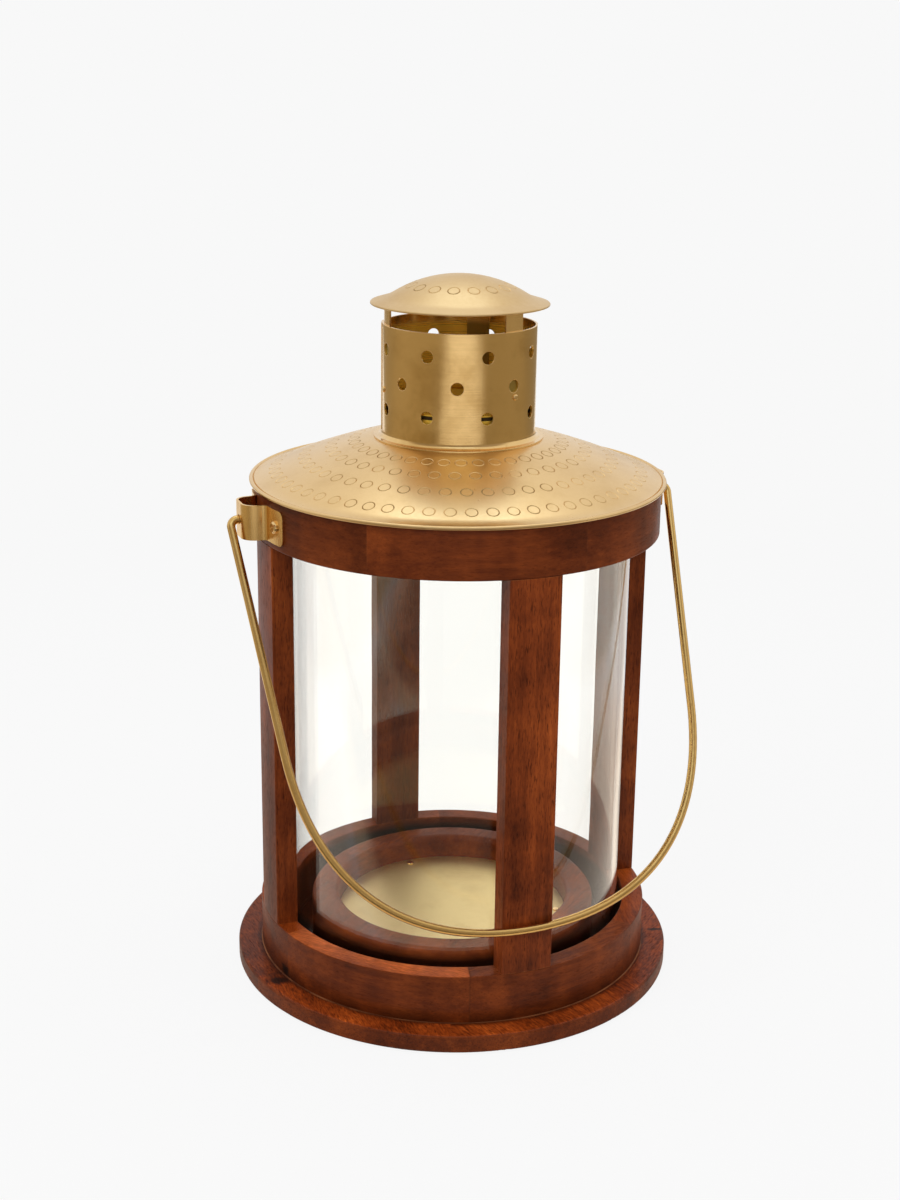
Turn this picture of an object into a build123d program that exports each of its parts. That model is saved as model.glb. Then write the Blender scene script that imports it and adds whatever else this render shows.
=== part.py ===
from build123d import *
import math
import os

os.makedirs("parts", exist_ok=True)

# Wooden candle lantern. Millimetres, +Z up, origin at the bottom centre of the base.
# Azimuths are degrees about +Z: 0 faces the front (-Y) and positive turns towards +X.

# Base disc: six glued rim segments round a centre panel that the cup covers
base_radius = 100.0
base_thickness = 8.0
base_core_inset = 5.5
base_edge_round = 1.2
base_joint_azimuth = 0.0

# Two segmented rings and the four posts between them, set in from the base's edge
segment_count = 6
segment_arc = 360.0 / segment_count
ring_inset = 11.0
ring_width = 9.5
ring_height = 22.0
lower_joint_azimuth = 5.0
upper_joint_azimuth = -24.0
post_count = 4
post_width = 23.0
post_azimuth = 21.2
wood_edge_round = 0.6

# Dowels that pin each post end into its ring
dowel_radius = 3.0
dowel_depth = 14.0

# Clear cylinder that stands inside the rings, short of the lid
glass_height = 213.0
glass_wall = 2.5
glass_lip_round = 0.8
glass_ring_gap = 2.5
glass_headroom = 6.0

# Turned candle cup inside the cylinder, with its brass plate
cup_glass_gap = 9.0
cup_wall = 12.3
cup_height = 23.0
cup_recess_depth = 11.2
cup_edge_round = 2.5
plate_thickness = 0.6
plate_clearance = 0.3
brad_count = 3
brad_inset = 4.2
brad_azimuth = -155.0
brad_head_radius = 1.6
brad_head_height = 0.7
brad_head_edge_round = 0.35
brad_shank_radius = 0.6
brad_shank_length = 8.0

# Looped straps that carry the handle, over the left and right posts
strap_azimuths = {"left": post_azimuth - 90.0, "right": post_azimuth + 90.0}
strap_thickness = 1.0
strap_height = 15.0
strap_half_span = 23.8
strap_corner_round = 3.0
strap_drop = 4.0
loop_reach = 10.0
loop_half_width = 9.0
loop_corner_round = 6.0
loop_foot_bend = 2.0
screw_offset = 17.4
screw_head_radius = 2.7
screw_head_height = 1.4
screw_head_edge_round = 1.0
screw_shank_radius = 1.5
screw_length = 8.0
screw_slot_width = 0.7
screw_slot_depth = 0.6

# Wire bail handle: two drawn-in legs and a bow pulled square at the shoulders
wire_radius = 1.8
wire_hole_clearance = 0.35
wire_end_inset = 5.0
wire_bend_radius = 3.2
bail_stand_off = 4.0
bail_leg_taper = 8.6
bail_leg_length = 102.0
bail_drop = 188.0
bail_shoulder_pull = 54.5
bail_bow_pull = 57.3
rest_clearance = 0.3

# Sheet brass lid with its rim bead, neck and locating collar
sheet_thickness = 0.8
lid_bead_radius = 0.9
lid_bead_clearance = 0.3
lid_bead_drop = 0.3
lid_brim_inset = 1.5
dome_rise = 18.2
dome_bulge = 1.1
dome_seat_margin = 1.5
neck_height = 13.5
collar_clearance = 0.4
collar_depth = 8.0

# Chimney with its flared foot and three staggered rows of vents
chimney_radius = 33.3
chimney_height = 49.1
foot_width = 3.7
foot_bend = 2.0
seam_lap = 0.4
seam_arc = 14.0
seam_azimuth = -92.0
vent_radius = 2.7
vents_per_row = 8
vent_row_count = 3
vent_first_azimuth = -24.0
vent_bottom_margin = 13.5
vent_top_margin = 10.0

# Domed cap held over the chimney by three riveted strip legs
cap_overhang = 5.15
cap_brim_width = 7.45
cap_brim_fall = 2.2
cap_dome_rise = 9.6
cap_gap = 8.1
leg_count = 3
leg_azimuth = 45.0
leg_arc = 18.0
leg_neck_gap = 3.3
leg_foot_length = 4.0
rivet_margin = 4.7
rivet_head_radius = 1.3
rivet_head_height = 0.7
rivet_head_edge_round = 0.55
rivet_shank_radius = 0.7
rivet_tail_height = 0.5

# Radii that follow from the sizes above
ring_outer_radius = base_radius - ring_inset
ring_inner_radius = ring_outer_radius - ring_width
ring_mid_radius = ring_outer_radius - ring_width / 2
glass_outer_radius = ring_inner_radius - glass_ring_gap
cup_outer_radius = glass_outer_radius - glass_wall - cup_glass_gap
cup_inner_radius = cup_outer_radius - cup_wall
base_core_radius = cup_outer_radius - base_core_inset
brad_circle_radius = cup_inner_radius - brad_inset
lid_brim_radius = ring_outer_radius - lid_brim_inset
bead_radius = ring_outer_radius + lid_bead_clearance + lid_bead_radius
collar_outer_radius = ring_inner_radius - collar_clearance
chimney_inner_radius = chimney_radius - sheet_thickness
foot_radius = chimney_radius + foot_width
dome_top_radius = foot_radius + dome_seat_margin
dome_mid_radius = (lid_brim_radius + dome_top_radius) / 2
cap_brim_radius = chimney_radius + cap_overhang
cap_dome_radius = cap_brim_radius - cap_brim_width
leg_inner_radius = chimney_inner_radius - sheet_thickness
leg_foot_radius = chimney_inner_radius + leg_foot_length

# Heights that follow: the glass sets how far apart the rings stand
post_height = glass_height + glass_headroom - 2 * ring_height
lower_ring_bottom = base_thickness
post_bottom = lower_ring_bottom + ring_height
upper_ring_bottom = post_bottom + post_height
lid_seat = upper_ring_bottom + ring_height
cup_floor = base_thickness + cup_height - cup_recess_depth
plate_top = cup_floor + plate_thickness
strap_top = lid_seat - strap_drop
hinge_height = strap_top - strap_height / 2
brim_top = lid_seat + sheet_thickness
chimney_seat = lid_seat + dome_rise
dome_mid_height = (brim_top + chimney_seat) / 2 + dome_bulge
chimney_top = chimney_seat + chimney_height
leg_bottom = chimney_seat + neck_height + leg_neck_gap
rivet_height = leg_bottom + rivet_margin
cap_brim_bottom = chimney_top + cap_gap
cap_brim_top = cap_brim_bottom + sheet_thickness
cap_corner = cap_brim_top + cap_brim_fall
cap_top = cap_corner + cap_dome_rise

# Places along the ring and the wire
strap_half_angle = math.degrees(strap_half_span / ring_outer_radius)
screw_angle = math.degrees(screw_offset / ring_outer_radius)
loop_outside = ring_outer_radius + loop_reach
loop_inside = loop_outside - strap_thickness
bail_half_width = loop_outside + bail_stand_off
bail_leg_half_width = bail_half_width - bail_leg_taper
wire_end = loop_inside - wire_end_inset

# How closely an edge must match a size to be picked by it
edge_match = 0.01


def outward(azimuth):
    """Unit vector pointing away from the lantern's axis at an azimuth."""
    angle = math.radians(azimuth)
    return Vector(math.sin(angle), -math.cos(angle), 0)


def radial_plane(azimuth):
    """Upright plane through the lantern's axis: local X points outward, local Y up."""
    return Plane(origin=(0, 0, 0), x_dir=outward(azimuth), z_dir=outward(azimuth - 90))


def deck_plane(azimuth, height):
    """Level plane at a height: local X points outward at the azimuth."""
    return Plane(origin=(0, 0, height), x_dir=outward(azimuth), z_dir=(0, 0, 1))


def facing_plane(azimuth, radius, height):
    """Upright plane that faces outward, with its origin on the given radius and height."""
    centre = outward(azimuth) * radius + Vector(0, 0, height)
    return Plane(origin=centre, x_dir=outward(azimuth + 90), z_dir=outward(azimuth))


def plan_angle(azimuth):
    """Angle from +X of an azimuth, for polar patterns."""
    return azimuth - 90


def axis_distance(edge):
    """Distance of an edge's centre from the lantern's axis."""
    return math.hypot(edge.center().X, edge.center().Y)


def save(piece, name):
    """Labels a finished piece and writes it to its own file."""
    piece.part.label = name
    export_step(piece.part, f"parts/{name}.step")


# Base rim segments, glued end to end
for index in range(segment_count):
    with BuildPart() as base_rim:
        with BuildSketch(radial_plane(base_joint_azimuth + index * segment_arc)) as rim_section:
            with Locations(((base_core_radius + base_radius) / 2, base_thickness / 2)):
                Rectangle(base_radius - base_core_radius, base_thickness)
            fillet(rim_section.vertices().group_by(Axis.X)[-1], base_edge_round)
        revolve(axis=Axis.Z, revolution_arc=segment_arc)
    save(base_rim, f"base_rim_{index + 1}")

with BuildPart() as base_core:
    with BuildSketch(Plane.XY):
        Circle(base_core_radius)
    extrude(amount=base_thickness)
save(base_core, "base_core")


def ring_segment(bottom, start, dowel_from):
    """One glued segment of a ring, drilled for the post dowels and the strap screws."""
    with BuildPart() as segment:
        with BuildSketch(radial_plane(start)) as section:
            with Locations((ring_mid_radius, bottom + ring_height / 2)):
                Rectangle(ring_width, ring_height)
            fillet(section.vertices(), wood_edge_round)
        revolve(axis=Axis.Z, revolution_arc=segment_arc)
        with BuildSketch(Plane.XY.offset(dowel_from)):
            with PolarLocations(ring_mid_radius, post_count, plan_angle(post_azimuth)):
                Circle(dowel_radius)
        extrude(amount=dowel_depth, mode=Mode.SUBTRACT)
        for strap_azimuth in strap_azimuths.values():
            for side in (-1, 1):
                azimuth = strap_azimuth + side * screw_angle
                with BuildSketch(facing_plane(azimuth, ring_outer_radius - screw_length, hinge_height)):
                    Circle(screw_shank_radius)
                extrude(amount=2 * screw_length, mode=Mode.SUBTRACT)
    return segment


for index in range(segment_count):
    lower_start = lower_joint_azimuth + index * segment_arc
    lower_ring = ring_segment(lower_ring_bottom, lower_start, post_bottom - dowel_depth)
    save(lower_ring, f"lower_ring_{index + 1}")
    upper_start = upper_joint_azimuth + index * segment_arc
    upper_ring = ring_segment(upper_ring_bottom, upper_start, upper_ring_bottom)
    save(upper_ring, f"upper_ring_{index + 1}")

# Posts: flat sides, faces curved to follow the rings
for index in range(post_count):
    with BuildPart() as post:
        with BuildSketch(deck_plane(post_azimuth + index * 360 / post_count, post_bottom)):
            Circle(ring_outer_radius)
            Circle(ring_inner_radius, mode=Mode.SUBTRACT)
            with Locations((ring_mid_radius, 0)):
                Rectangle(2 * ring_width, post_width, mode=Mode.INTERSECT)
        extrude(amount=post_height)
        fillet(post.edges().filter_by(Axis.Z), wood_edge_round)
        for dowel_from in (post_bottom, upper_ring_bottom - dowel_depth):
            with BuildSketch(Plane.XY.offset(dowel_from)):
                with PolarLocations(ring_mid_radius, post_count, plan_angle(post_azimuth)):
                    Circle(dowel_radius)
            extrude(amount=dowel_depth, mode=Mode.SUBTRACT)
    save(post, f"post_{index + 1}")

with BuildPart() as post_dowels:
    for joint_height in (post_bottom, upper_ring_bottom):
        with BuildSketch(Plane.XY.offset(joint_height - dowel_depth)):
            with PolarLocations(ring_mid_radius, post_count, plan_angle(post_azimuth)):
                Circle(dowel_radius)
        extrude(amount=2 * dowel_depth)
save(post_dowels, "post_dowels")

# Candle cup, its plate and the brads that hold the plate down
with BuildPart() as candle_cup:
    with BuildSketch(Plane.XY.offset(base_thickness)):
        Circle(cup_outer_radius)
    extrude(amount=cup_height)
    with BuildSketch(Plane.XY.offset(cup_floor)):
        Circle(cup_inner_radius)
    extrude(amount=cup_recess_depth, mode=Mode.SUBTRACT)
    fillet(candle_cup.faces().sort_by(Axis.Z)[-1].edges(), cup_edge_round)
    with BuildSketch(Plane.XY.offset(plate_top - brad_shank_length)):
        with PolarLocations(brad_circle_radius, brad_count, plan_angle(brad_azimuth)):
            Circle(brad_shank_radius)
    extrude(amount=brad_shank_length, mode=Mode.SUBTRACT)
save(candle_cup, "candle_cup")

with BuildPart() as candle_plate:
    with BuildSketch(Plane.XY.offset(cup_floor)):
        Circle(cup_inner_radius - plate_clearance)
        with PolarLocations(brad_circle_radius, brad_count, plan_angle(brad_azimuth)):
            Circle(brad_shank_radius, mode=Mode.SUBTRACT)
    extrude(amount=plate_thickness)
save(candle_plate, "candle_plate")

with BuildPart() as plate_brads:
    with BuildSketch(Plane.XY.offset(plate_top - brad_shank_length)):
        with PolarLocations(brad_circle_radius, brad_count, plan_angle(brad_azimuth)):
            Circle(brad_shank_radius)
    extrude(amount=brad_shank_length)
    with BuildSketch(Plane.XY.offset(plate_top)):
        with PolarLocations(brad_circle_radius, brad_count, plan_angle(brad_azimuth)):
            Circle(brad_head_radius)
    extrude(amount=brad_head_height)
    fillet(plate_brads.edges().group_by(Axis.Z)[-1], brad_head_edge_round)
save(plate_brads, "plate_brads")

# Glass cylinder
with BuildPart() as glass_cylinder:
    with BuildSketch(Plane.XY.offset(base_thickness)):
        Circle(glass_outer_radius)
        Circle(glass_outer_radius - glass_wall, mode=Mode.SUBTRACT)
    extrude(amount=glass_height)
    fillet(glass_cylinder.edges().filter_by(GeomType.CIRCLE), glass_lip_round)
save(glass_cylinder, "glass_cylinder")

# Handle straps: two feet that hug the upper ring and a loop between them
loop_wall = loop_half_width - strap_thickness
loop_root = math.sqrt(ring_outer_radius ** 2 - loop_wall ** 2)
foot_start_angle = math.degrees(math.asin(loop_wall / ring_outer_radius))
foot_middle_angle = (strap_half_angle + foot_start_angle) / 2


def on_ring(angle):
    """Point on the ring's face, at an angle from the strap's middle, in the strap's own plan."""
    turn = math.radians(angle)
    return (ring_outer_radius * math.cos(turn), ring_outer_radius * math.sin(turn))


def sideways(edge, azimuth):
    """Distance of an edge from the strap's middle, along the ring."""
    return abs(edge.center().dot(outward(azimuth + 90)))


def foot_bends(strap, azimuth, wall_face):
    """Upright edges where the feet turn out into the loop, on one face of the loop's wall."""
    upright = strap.edges().filter_by(lambda edge: abs(edge.length - strap_height) < edge_match)
    near_ring = upright.filter_by(
        lambda edge: edge.center().dot(outward(azimuth)) < ring_outer_radius + 2 * strap_thickness)
    return near_ring.filter_by(lambda edge: abs(sideways(edge, azimuth) - wall_face) < edge_match)


def foot_corners(strap):
    """Short edges across the sheet at the four corners of the feet."""
    return strap.edges().filter_by(lambda edge: abs(edge.length - strap_thickness) < edge_match)


for side, strap_azimuth in strap_azimuths.items():
    with BuildPart() as handle_strap:
        with BuildSketch(deck_plane(strap_azimuth, strap_top - strap_height)):
            with BuildLine() as inner_face:
                ThreePointArc(on_ring(-strap_half_angle), on_ring(-foot_middle_angle),
                              (loop_root, -loop_wall))
                FilletPolyline((loop_root, -loop_wall), (loop_inside, -loop_wall),
                               (loop_inside, loop_wall), (loop_root, loop_wall),
                               radius=loop_corner_round - strap_thickness)
                ThreePointArc((loop_root, loop_wall), on_ring(foot_middle_angle),
                              on_ring(strap_half_angle))
                offset(amount=strap_thickness, side=Side.RIGHT)
            make_face()
        extrude(amount=strap_height)
        fillet(foot_bends(handle_strap, strap_azimuth, loop_wall), loop_foot_bend + strap_thickness)
        fillet(foot_bends(handle_strap, strap_azimuth, loop_half_width), loop_foot_bend)
        fillet(foot_corners(handle_strap), strap_corner_round)
        with BuildSketch(facing_plane(strap_azimuth, ring_outer_radius, hinge_height)):
            Circle(wire_radius + wire_hole_clearance)
        extrude(amount=2 * loop_reach, mode=Mode.SUBTRACT)
        for turn in (-1, 1):
            azimuth = strap_azimuth + turn * screw_angle
            with BuildSketch(facing_plane(azimuth, ring_outer_radius - screw_length, hinge_height)):
                Circle(screw_shank_radius)
            extrude(amount=2 * screw_length, mode=Mode.SUBTRACT)
    save(handle_strap, f"handle_strap_{side}")

# Slotted round-head screws through the strap feet, their slots left at different angles
screw_seat = ring_outer_radius + strap_thickness
screw_slot_floor = screw_seat + screw_head_height - screw_slot_depth
screw_azimuths = []
for strap_azimuth in strap_azimuths.values():
    screw_azimuths += [strap_azimuth - screw_angle, strap_azimuth + screw_angle]

with BuildPart() as strap_screws:
    for azimuth in screw_azimuths:
        with BuildSketch(facing_plane(azimuth, ring_outer_radius - screw_length, hinge_height)):
            Circle(screw_shank_radius)
        extrude(amount=screw_length + strap_thickness)
        with BuildSketch(facing_plane(azimuth, screw_seat, hinge_height)):
            Circle(screw_head_radius)
        extrude(amount=screw_head_height)
    head_rims = strap_screws.edges().filter_by(GeomType.CIRCLE).filter_by(
        lambda edge: axis_distance(edge) > screw_seat + screw_head_height / 2)
    fillet(head_rims, screw_head_edge_round)
    for azimuth in screw_azimuths:
        with BuildSketch(facing_plane(azimuth, screw_slot_floor, hinge_height)):
            Rectangle(screw_slot_width, 2 * screw_head_radius, rotation=azimuth)
        extrude(amount=screw_head_height, mode=Mode.SUBTRACT)
save(strap_screws, "strap_screws")

# Lid: flat brim with a rolled bead, shallow dome, level seat and turned-up neck
with BuildPart() as lid_dome:
    with BuildSketch(Plane.XZ):
        with BuildLine():
            Polyline((lid_brim_radius, lid_seat), (bead_radius, lid_seat), (bead_radius, brim_top),
                     (lid_brim_radius, brim_top))
            ThreePointArc((lid_brim_radius, brim_top), (dome_mid_radius, dome_mid_height),
                          (dome_top_radius, chimney_seat))
            Polyline((dome_top_radius, chimney_seat), (chimney_inner_radius, chimney_seat),
                     (chimney_inner_radius, chimney_seat + neck_height),
                     (chimney_inner_radius - sheet_thickness, chimney_seat + neck_height),
                     (chimney_inner_radius - sheet_thickness, chimney_seat - sheet_thickness),
                     (dome_top_radius, chimney_seat - sheet_thickness))
            ThreePointArc((dome_top_radius, chimney_seat - sheet_thickness),
                          (dome_mid_radius, dome_mid_height - sheet_thickness),
                          (lid_brim_radius, lid_seat))
        make_face()
        with Locations((bead_radius, lid_seat + sheet_thickness / 2 - lid_bead_drop)):
            Circle(lid_bead_radius)
    revolve(axis=Axis.Z)
save(lid_dome, "lid_dome")

# Locating collar under the dome, dropping inside the upper ring
collar_bottom = lid_seat - collar_depth
with BuildPart() as lid_collar:
    with BuildSketch(Plane.XZ):
        with Locations((collar_outer_radius - sheet_thickness / 2, collar_bottom + dome_rise / 2)):
            Rectangle(sheet_thickness, dome_rise)
    revolve(axis=Axis.Z)
    with BuildSketch(Plane.XZ):
        with BuildLine():
            ThreePointArc((dome_top_radius, chimney_seat - sheet_thickness),
                          (dome_mid_radius, dome_mid_height - sheet_thickness),
                          (lid_brim_radius, lid_seat))
            Polyline((lid_brim_radius, lid_seat), (lid_brim_radius, chimney_top),
                     (dome_top_radius, chimney_top), (dome_top_radius, chimney_seat - sheet_thickness))
        make_face()
    revolve(axis=Axis.Z, mode=Mode.SUBTRACT)
save(lid_collar, "lid_collar")

# Chimney: rolled tube with a lapped seam, flared foot and vents
foot_top = chimney_seat + sheet_thickness
seam_bottom = foot_top + foot_bend
vent_turn = 360 / vents_per_row
vent_bottom = chimney_seat + vent_bottom_margin
vent_row_pitch = (chimney_height - vent_bottom_margin - vent_top_margin) / (vent_row_count - 1)
leg_azimuths = [leg_azimuth + index * 360 / leg_count for index in range(leg_count)]
with BuildPart() as chimney:
    with BuildSketch(Plane.XZ) as chimney_section:
        with BuildLine():
            Polyline((chimney_inner_radius, chimney_seat), (foot_radius, chimney_seat),
                     (foot_radius, foot_top), (chimney_radius, foot_top),
                     (chimney_radius, chimney_top), (chimney_inner_radius, chimney_top), close=True)
        make_face()
        flare = (chimney_radius, foot_top, 0)
        fillet(chimney_section.vertices().sort_by_distance(flare)[0], foot_bend)
    revolve(axis=Axis.Z)
    with BuildSketch(radial_plane(seam_azimuth - seam_arc / 2)):
        with Locations((chimney_radius, (seam_bottom + chimney_top) / 2)):
            Rectangle(2 * seam_lap, chimney_top - seam_bottom)
    revolve(axis=Axis.Z, revolution_arc=seam_arc)
    for row in range(vent_row_count):
        for index in range(vents_per_row):
            azimuth = vent_first_azimuth + (index + (row % 2) / 2) * vent_turn
            with BuildSketch(facing_plane(azimuth, 0, vent_bottom + row * vent_row_pitch)):
                Circle(vent_radius)
            extrude(amount=foot_radius, mode=Mode.SUBTRACT)
    for azimuth in leg_azimuths:
        with BuildSketch(facing_plane(azimuth, 0, rivet_height)):
            Circle(rivet_shank_radius)
        extrude(amount=foot_radius, mode=Mode.SUBTRACT)
save(chimney, "chimney")

# Cap: shallow spun dome with a drooping brim
cap_sphere = (cap_dome_radius ** 2 + cap_dome_rise ** 2) / (2 * cap_dome_rise)
cap_half_radius = cap_dome_radius / 2
cap_half_height = cap_top - cap_sphere + math.sqrt(cap_sphere ** 2 - cap_half_radius ** 2)
with BuildPart() as chimney_cap:
    with BuildSketch(Plane.XZ):
        with BuildLine():
            ThreePointArc((0, cap_top), (cap_half_radius, cap_half_height),
                          (cap_dome_radius, cap_corner))
            Polyline((cap_dome_radius, cap_corner), (cap_brim_radius, cap_brim_top),
                     (cap_brim_radius, cap_brim_bottom), (cap_dome_radius, cap_corner - sheet_thickness))
            ThreePointArc((cap_dome_radius, cap_corner - sheet_thickness),
                          (cap_half_radius, cap_half_height - sheet_thickness),
                          (0, cap_top - sheet_thickness))
            Line((0, cap_top - sheet_thickness), (0, cap_top))
        make_face()
    revolve(axis=Axis.Z)
save(chimney_cap, "chimney_cap")


def brim_underside(radius):
    """Height of the underside of the cap's brim at a radius."""
    fall = cap_brim_fall * (radius - cap_dome_radius) / cap_brim_width
    return cap_corner - sheet_thickness - fall


# Strip legs: curved to lie inside the chimney, feet turned out under the cap's brim
for index, azimuth in enumerate(leg_azimuths):
    with BuildPart() as cap_leg:
        with BuildSketch(radial_plane(azimuth - leg_arc / 2)):
            with BuildLine():
                Polyline((leg_inner_radius, leg_bottom),
                         (chimney_inner_radius, leg_bottom),
                         (chimney_inner_radius, brim_underside(chimney_inner_radius) - sheet_thickness),
                         (leg_foot_radius, brim_underside(leg_foot_radius) - sheet_thickness),
                         (leg_foot_radius, brim_underside(leg_foot_radius)),
                         (leg_inner_radius, brim_underside(leg_inner_radius)), close=True)
            make_face()
        revolve(axis=Axis.Z, revolution_arc=leg_arc)
        with BuildSketch(facing_plane(azimuth, 0, rivet_height)):
            Circle(rivet_shank_radius)
        extrude(amount=foot_radius, mode=Mode.SUBTRACT)
    save(cap_leg, f"cap_leg_{index + 1}")

tail_seat = math.sqrt(leg_inner_radius ** 2 - rivet_head_radius ** 2)
with BuildPart() as leg_rivets:
    for azimuth in leg_azimuths:
        with BuildSketch(facing_plane(azimuth, tail_seat, rivet_height)):
            Circle(rivet_shank_radius)
        extrude(amount=chimney_radius - tail_seat)
        with BuildSketch(facing_plane(azimuth, chimney_radius, rivet_height)):
            Circle(rivet_head_radius)
        extrude(amount=rivet_head_height)
        with BuildSketch(facing_plane(azimuth, tail_seat - rivet_tail_height, rivet_height)):
            Circle(rivet_head_radius)
        extrude(amount=rivet_tail_height)
    rivet_rims = leg_rivets.edges().filter_by(GeomType.CIRCLE).filter_by(
        lambda edge: axis_distance(edge) > chimney_radius + rivet_head_height / 2)
    fillet(rivet_rims, rivet_head_edge_round)
save(leg_rivets, "leg_rivets")

# Wire bail, hanging forward with its bow resting against the front post
bail_right = outward(strap_azimuths["right"])
bail_front = outward(post_azimuth)
bail_lean = math.asin((ring_outer_radius + wire_radius + rest_clearance) / bail_drop)
bail_down = bail_front * math.sin(bail_lean) - Vector(0, 0, math.cos(bail_lean))
bail_plane = Plane(origin=(0, 0, hinge_height), x_dir=bail_right, z_dir=bail_right.cross(-bail_down))
shoulder = bail_shoulder_pull / math.hypot(bail_leg_taper, bail_leg_length)
shoulder_half_width = bail_leg_half_width - bail_leg_taper * shoulder
shoulder_drop = bail_leg_length * (1 + shoulder)
with BuildPart() as bail_handle:
    with BuildLine(bail_plane) as bail_path:
        FilletPolyline((-wire_end, 0), (-bail_half_width, 0), (-bail_leg_half_width, -bail_leg_length),
                       radius=wire_bend_radius)
        Bezier((-bail_leg_half_width, -bail_leg_length), (-shoulder_half_width, -shoulder_drop),
               (-bail_bow_pull, -bail_drop), (0, -bail_drop))
        Bezier((0, -bail_drop), (bail_bow_pull, -bail_drop),
               (shoulder_half_width, -shoulder_drop), (bail_leg_half_width, -bail_leg_length))
        FilletPolyline((bail_leg_half_width, -bail_leg_length), (bail_half_width, 0), (wire_end, 0),
                       radius=wire_bend_radius)
    with BuildSketch(facing_plane(strap_azimuths["left"], wire_end, hinge_height)):
        Circle(wire_radius)
    sweep(path=bail_path.wires()[0])
save(bail_handle, "bail_handle")
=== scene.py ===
"""Looks of the wooden candle lantern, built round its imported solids. Metres, +Z up, front at -Y."""

import logging
import math
import operator
from dataclasses import dataclass, field
from enum import Enum, IntEnum
from functools import reduce
from typing import Callable, ClassVar

import bmesh
import bpy
from mathutils import Matrix, Vector, noise


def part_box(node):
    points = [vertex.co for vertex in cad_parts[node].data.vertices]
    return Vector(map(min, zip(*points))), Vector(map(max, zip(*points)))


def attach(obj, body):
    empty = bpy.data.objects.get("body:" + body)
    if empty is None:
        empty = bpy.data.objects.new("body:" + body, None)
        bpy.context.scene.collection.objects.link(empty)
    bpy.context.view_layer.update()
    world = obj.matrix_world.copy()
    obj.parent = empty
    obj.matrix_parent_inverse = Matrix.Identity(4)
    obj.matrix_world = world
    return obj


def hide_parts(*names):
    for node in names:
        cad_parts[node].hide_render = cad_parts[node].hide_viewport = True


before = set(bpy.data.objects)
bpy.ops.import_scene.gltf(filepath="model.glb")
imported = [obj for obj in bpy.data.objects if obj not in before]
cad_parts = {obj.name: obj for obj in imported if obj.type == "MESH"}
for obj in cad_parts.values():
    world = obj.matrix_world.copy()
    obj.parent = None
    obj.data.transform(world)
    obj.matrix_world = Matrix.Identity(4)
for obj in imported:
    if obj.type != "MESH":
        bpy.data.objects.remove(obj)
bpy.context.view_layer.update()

LOG = logging.getLogger("lantern")
MM = 0.001
FULL_TURN = 2 * math.pi
EDGE_SAMPLES = 6

Triple = tuple[float, float, float]
Colour = Triple
Span = tuple[float, float]
Profile = list[tuple[float, float]]

ORIGIN: Triple = (0.0, 0.0, 0.0)
UNIT: Triple = (1.0, 1.0, 1.0)
WHITE: Colour = (1.0, 1.0, 1.0)


# Node trees


class Signal:
    """An output socket of a node tree. Arithmetic on it adds Math nodes."""

    def __init__(self, graph: "Graph", socket: bpy.types.NodeSocket | None) -> None:
        """Wraps one output of a graph."""
        self.graph = graph
        self.socket = socket

    def __add__(self, other: "Number") -> "Signal":
        """Sum."""
        return self.graph.maths("ADD", self, other)

    def __radd__(self, other: "Number") -> "Signal":
        """Sum with a number on the left."""
        return self.graph.maths("ADD", other, self)

    def __sub__(self, other: "Number") -> "Signal":
        """Difference."""
        return self.graph.maths("SUBTRACT", self, other)

    def __rsub__(self, other: "Number") -> "Signal":
        """Difference with a number on the left."""
        return self.graph.maths("SUBTRACT", other, self)

    def __mul__(self, other: "Number") -> "Signal":
        """Product."""
        return self.graph.maths("MULTIPLY", self, other)

    def __rmul__(self, other: "Number") -> "Signal":
        """Product with a number on the left."""
        return self.graph.maths("MULTIPLY", other, self)

    def __abs__(self) -> "Signal":
        """Size without its sign."""
        return self.graph.maths("ABSOLUTE", self)

    def ramp(self, low: float, high: float) -> "Signal":
        """Smooth step from 0 at low to 1 at high, which may be the smaller one."""
        sockets = {"Value": self, "From Min": low, "From Max": high}
        return self.graph.node("ShaderNodeMapRange", {"interpolation_type": "SMOOTHSTEP"}, sockets)

    def band(self, rise: Span, fall: Span) -> "Signal":
        """1 between two smooth steps, 0 outside them."""
        return self.ramp(*rise) * self.ramp(*fall)


Number = Signal | float
Input = Signal | float | tuple


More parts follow.
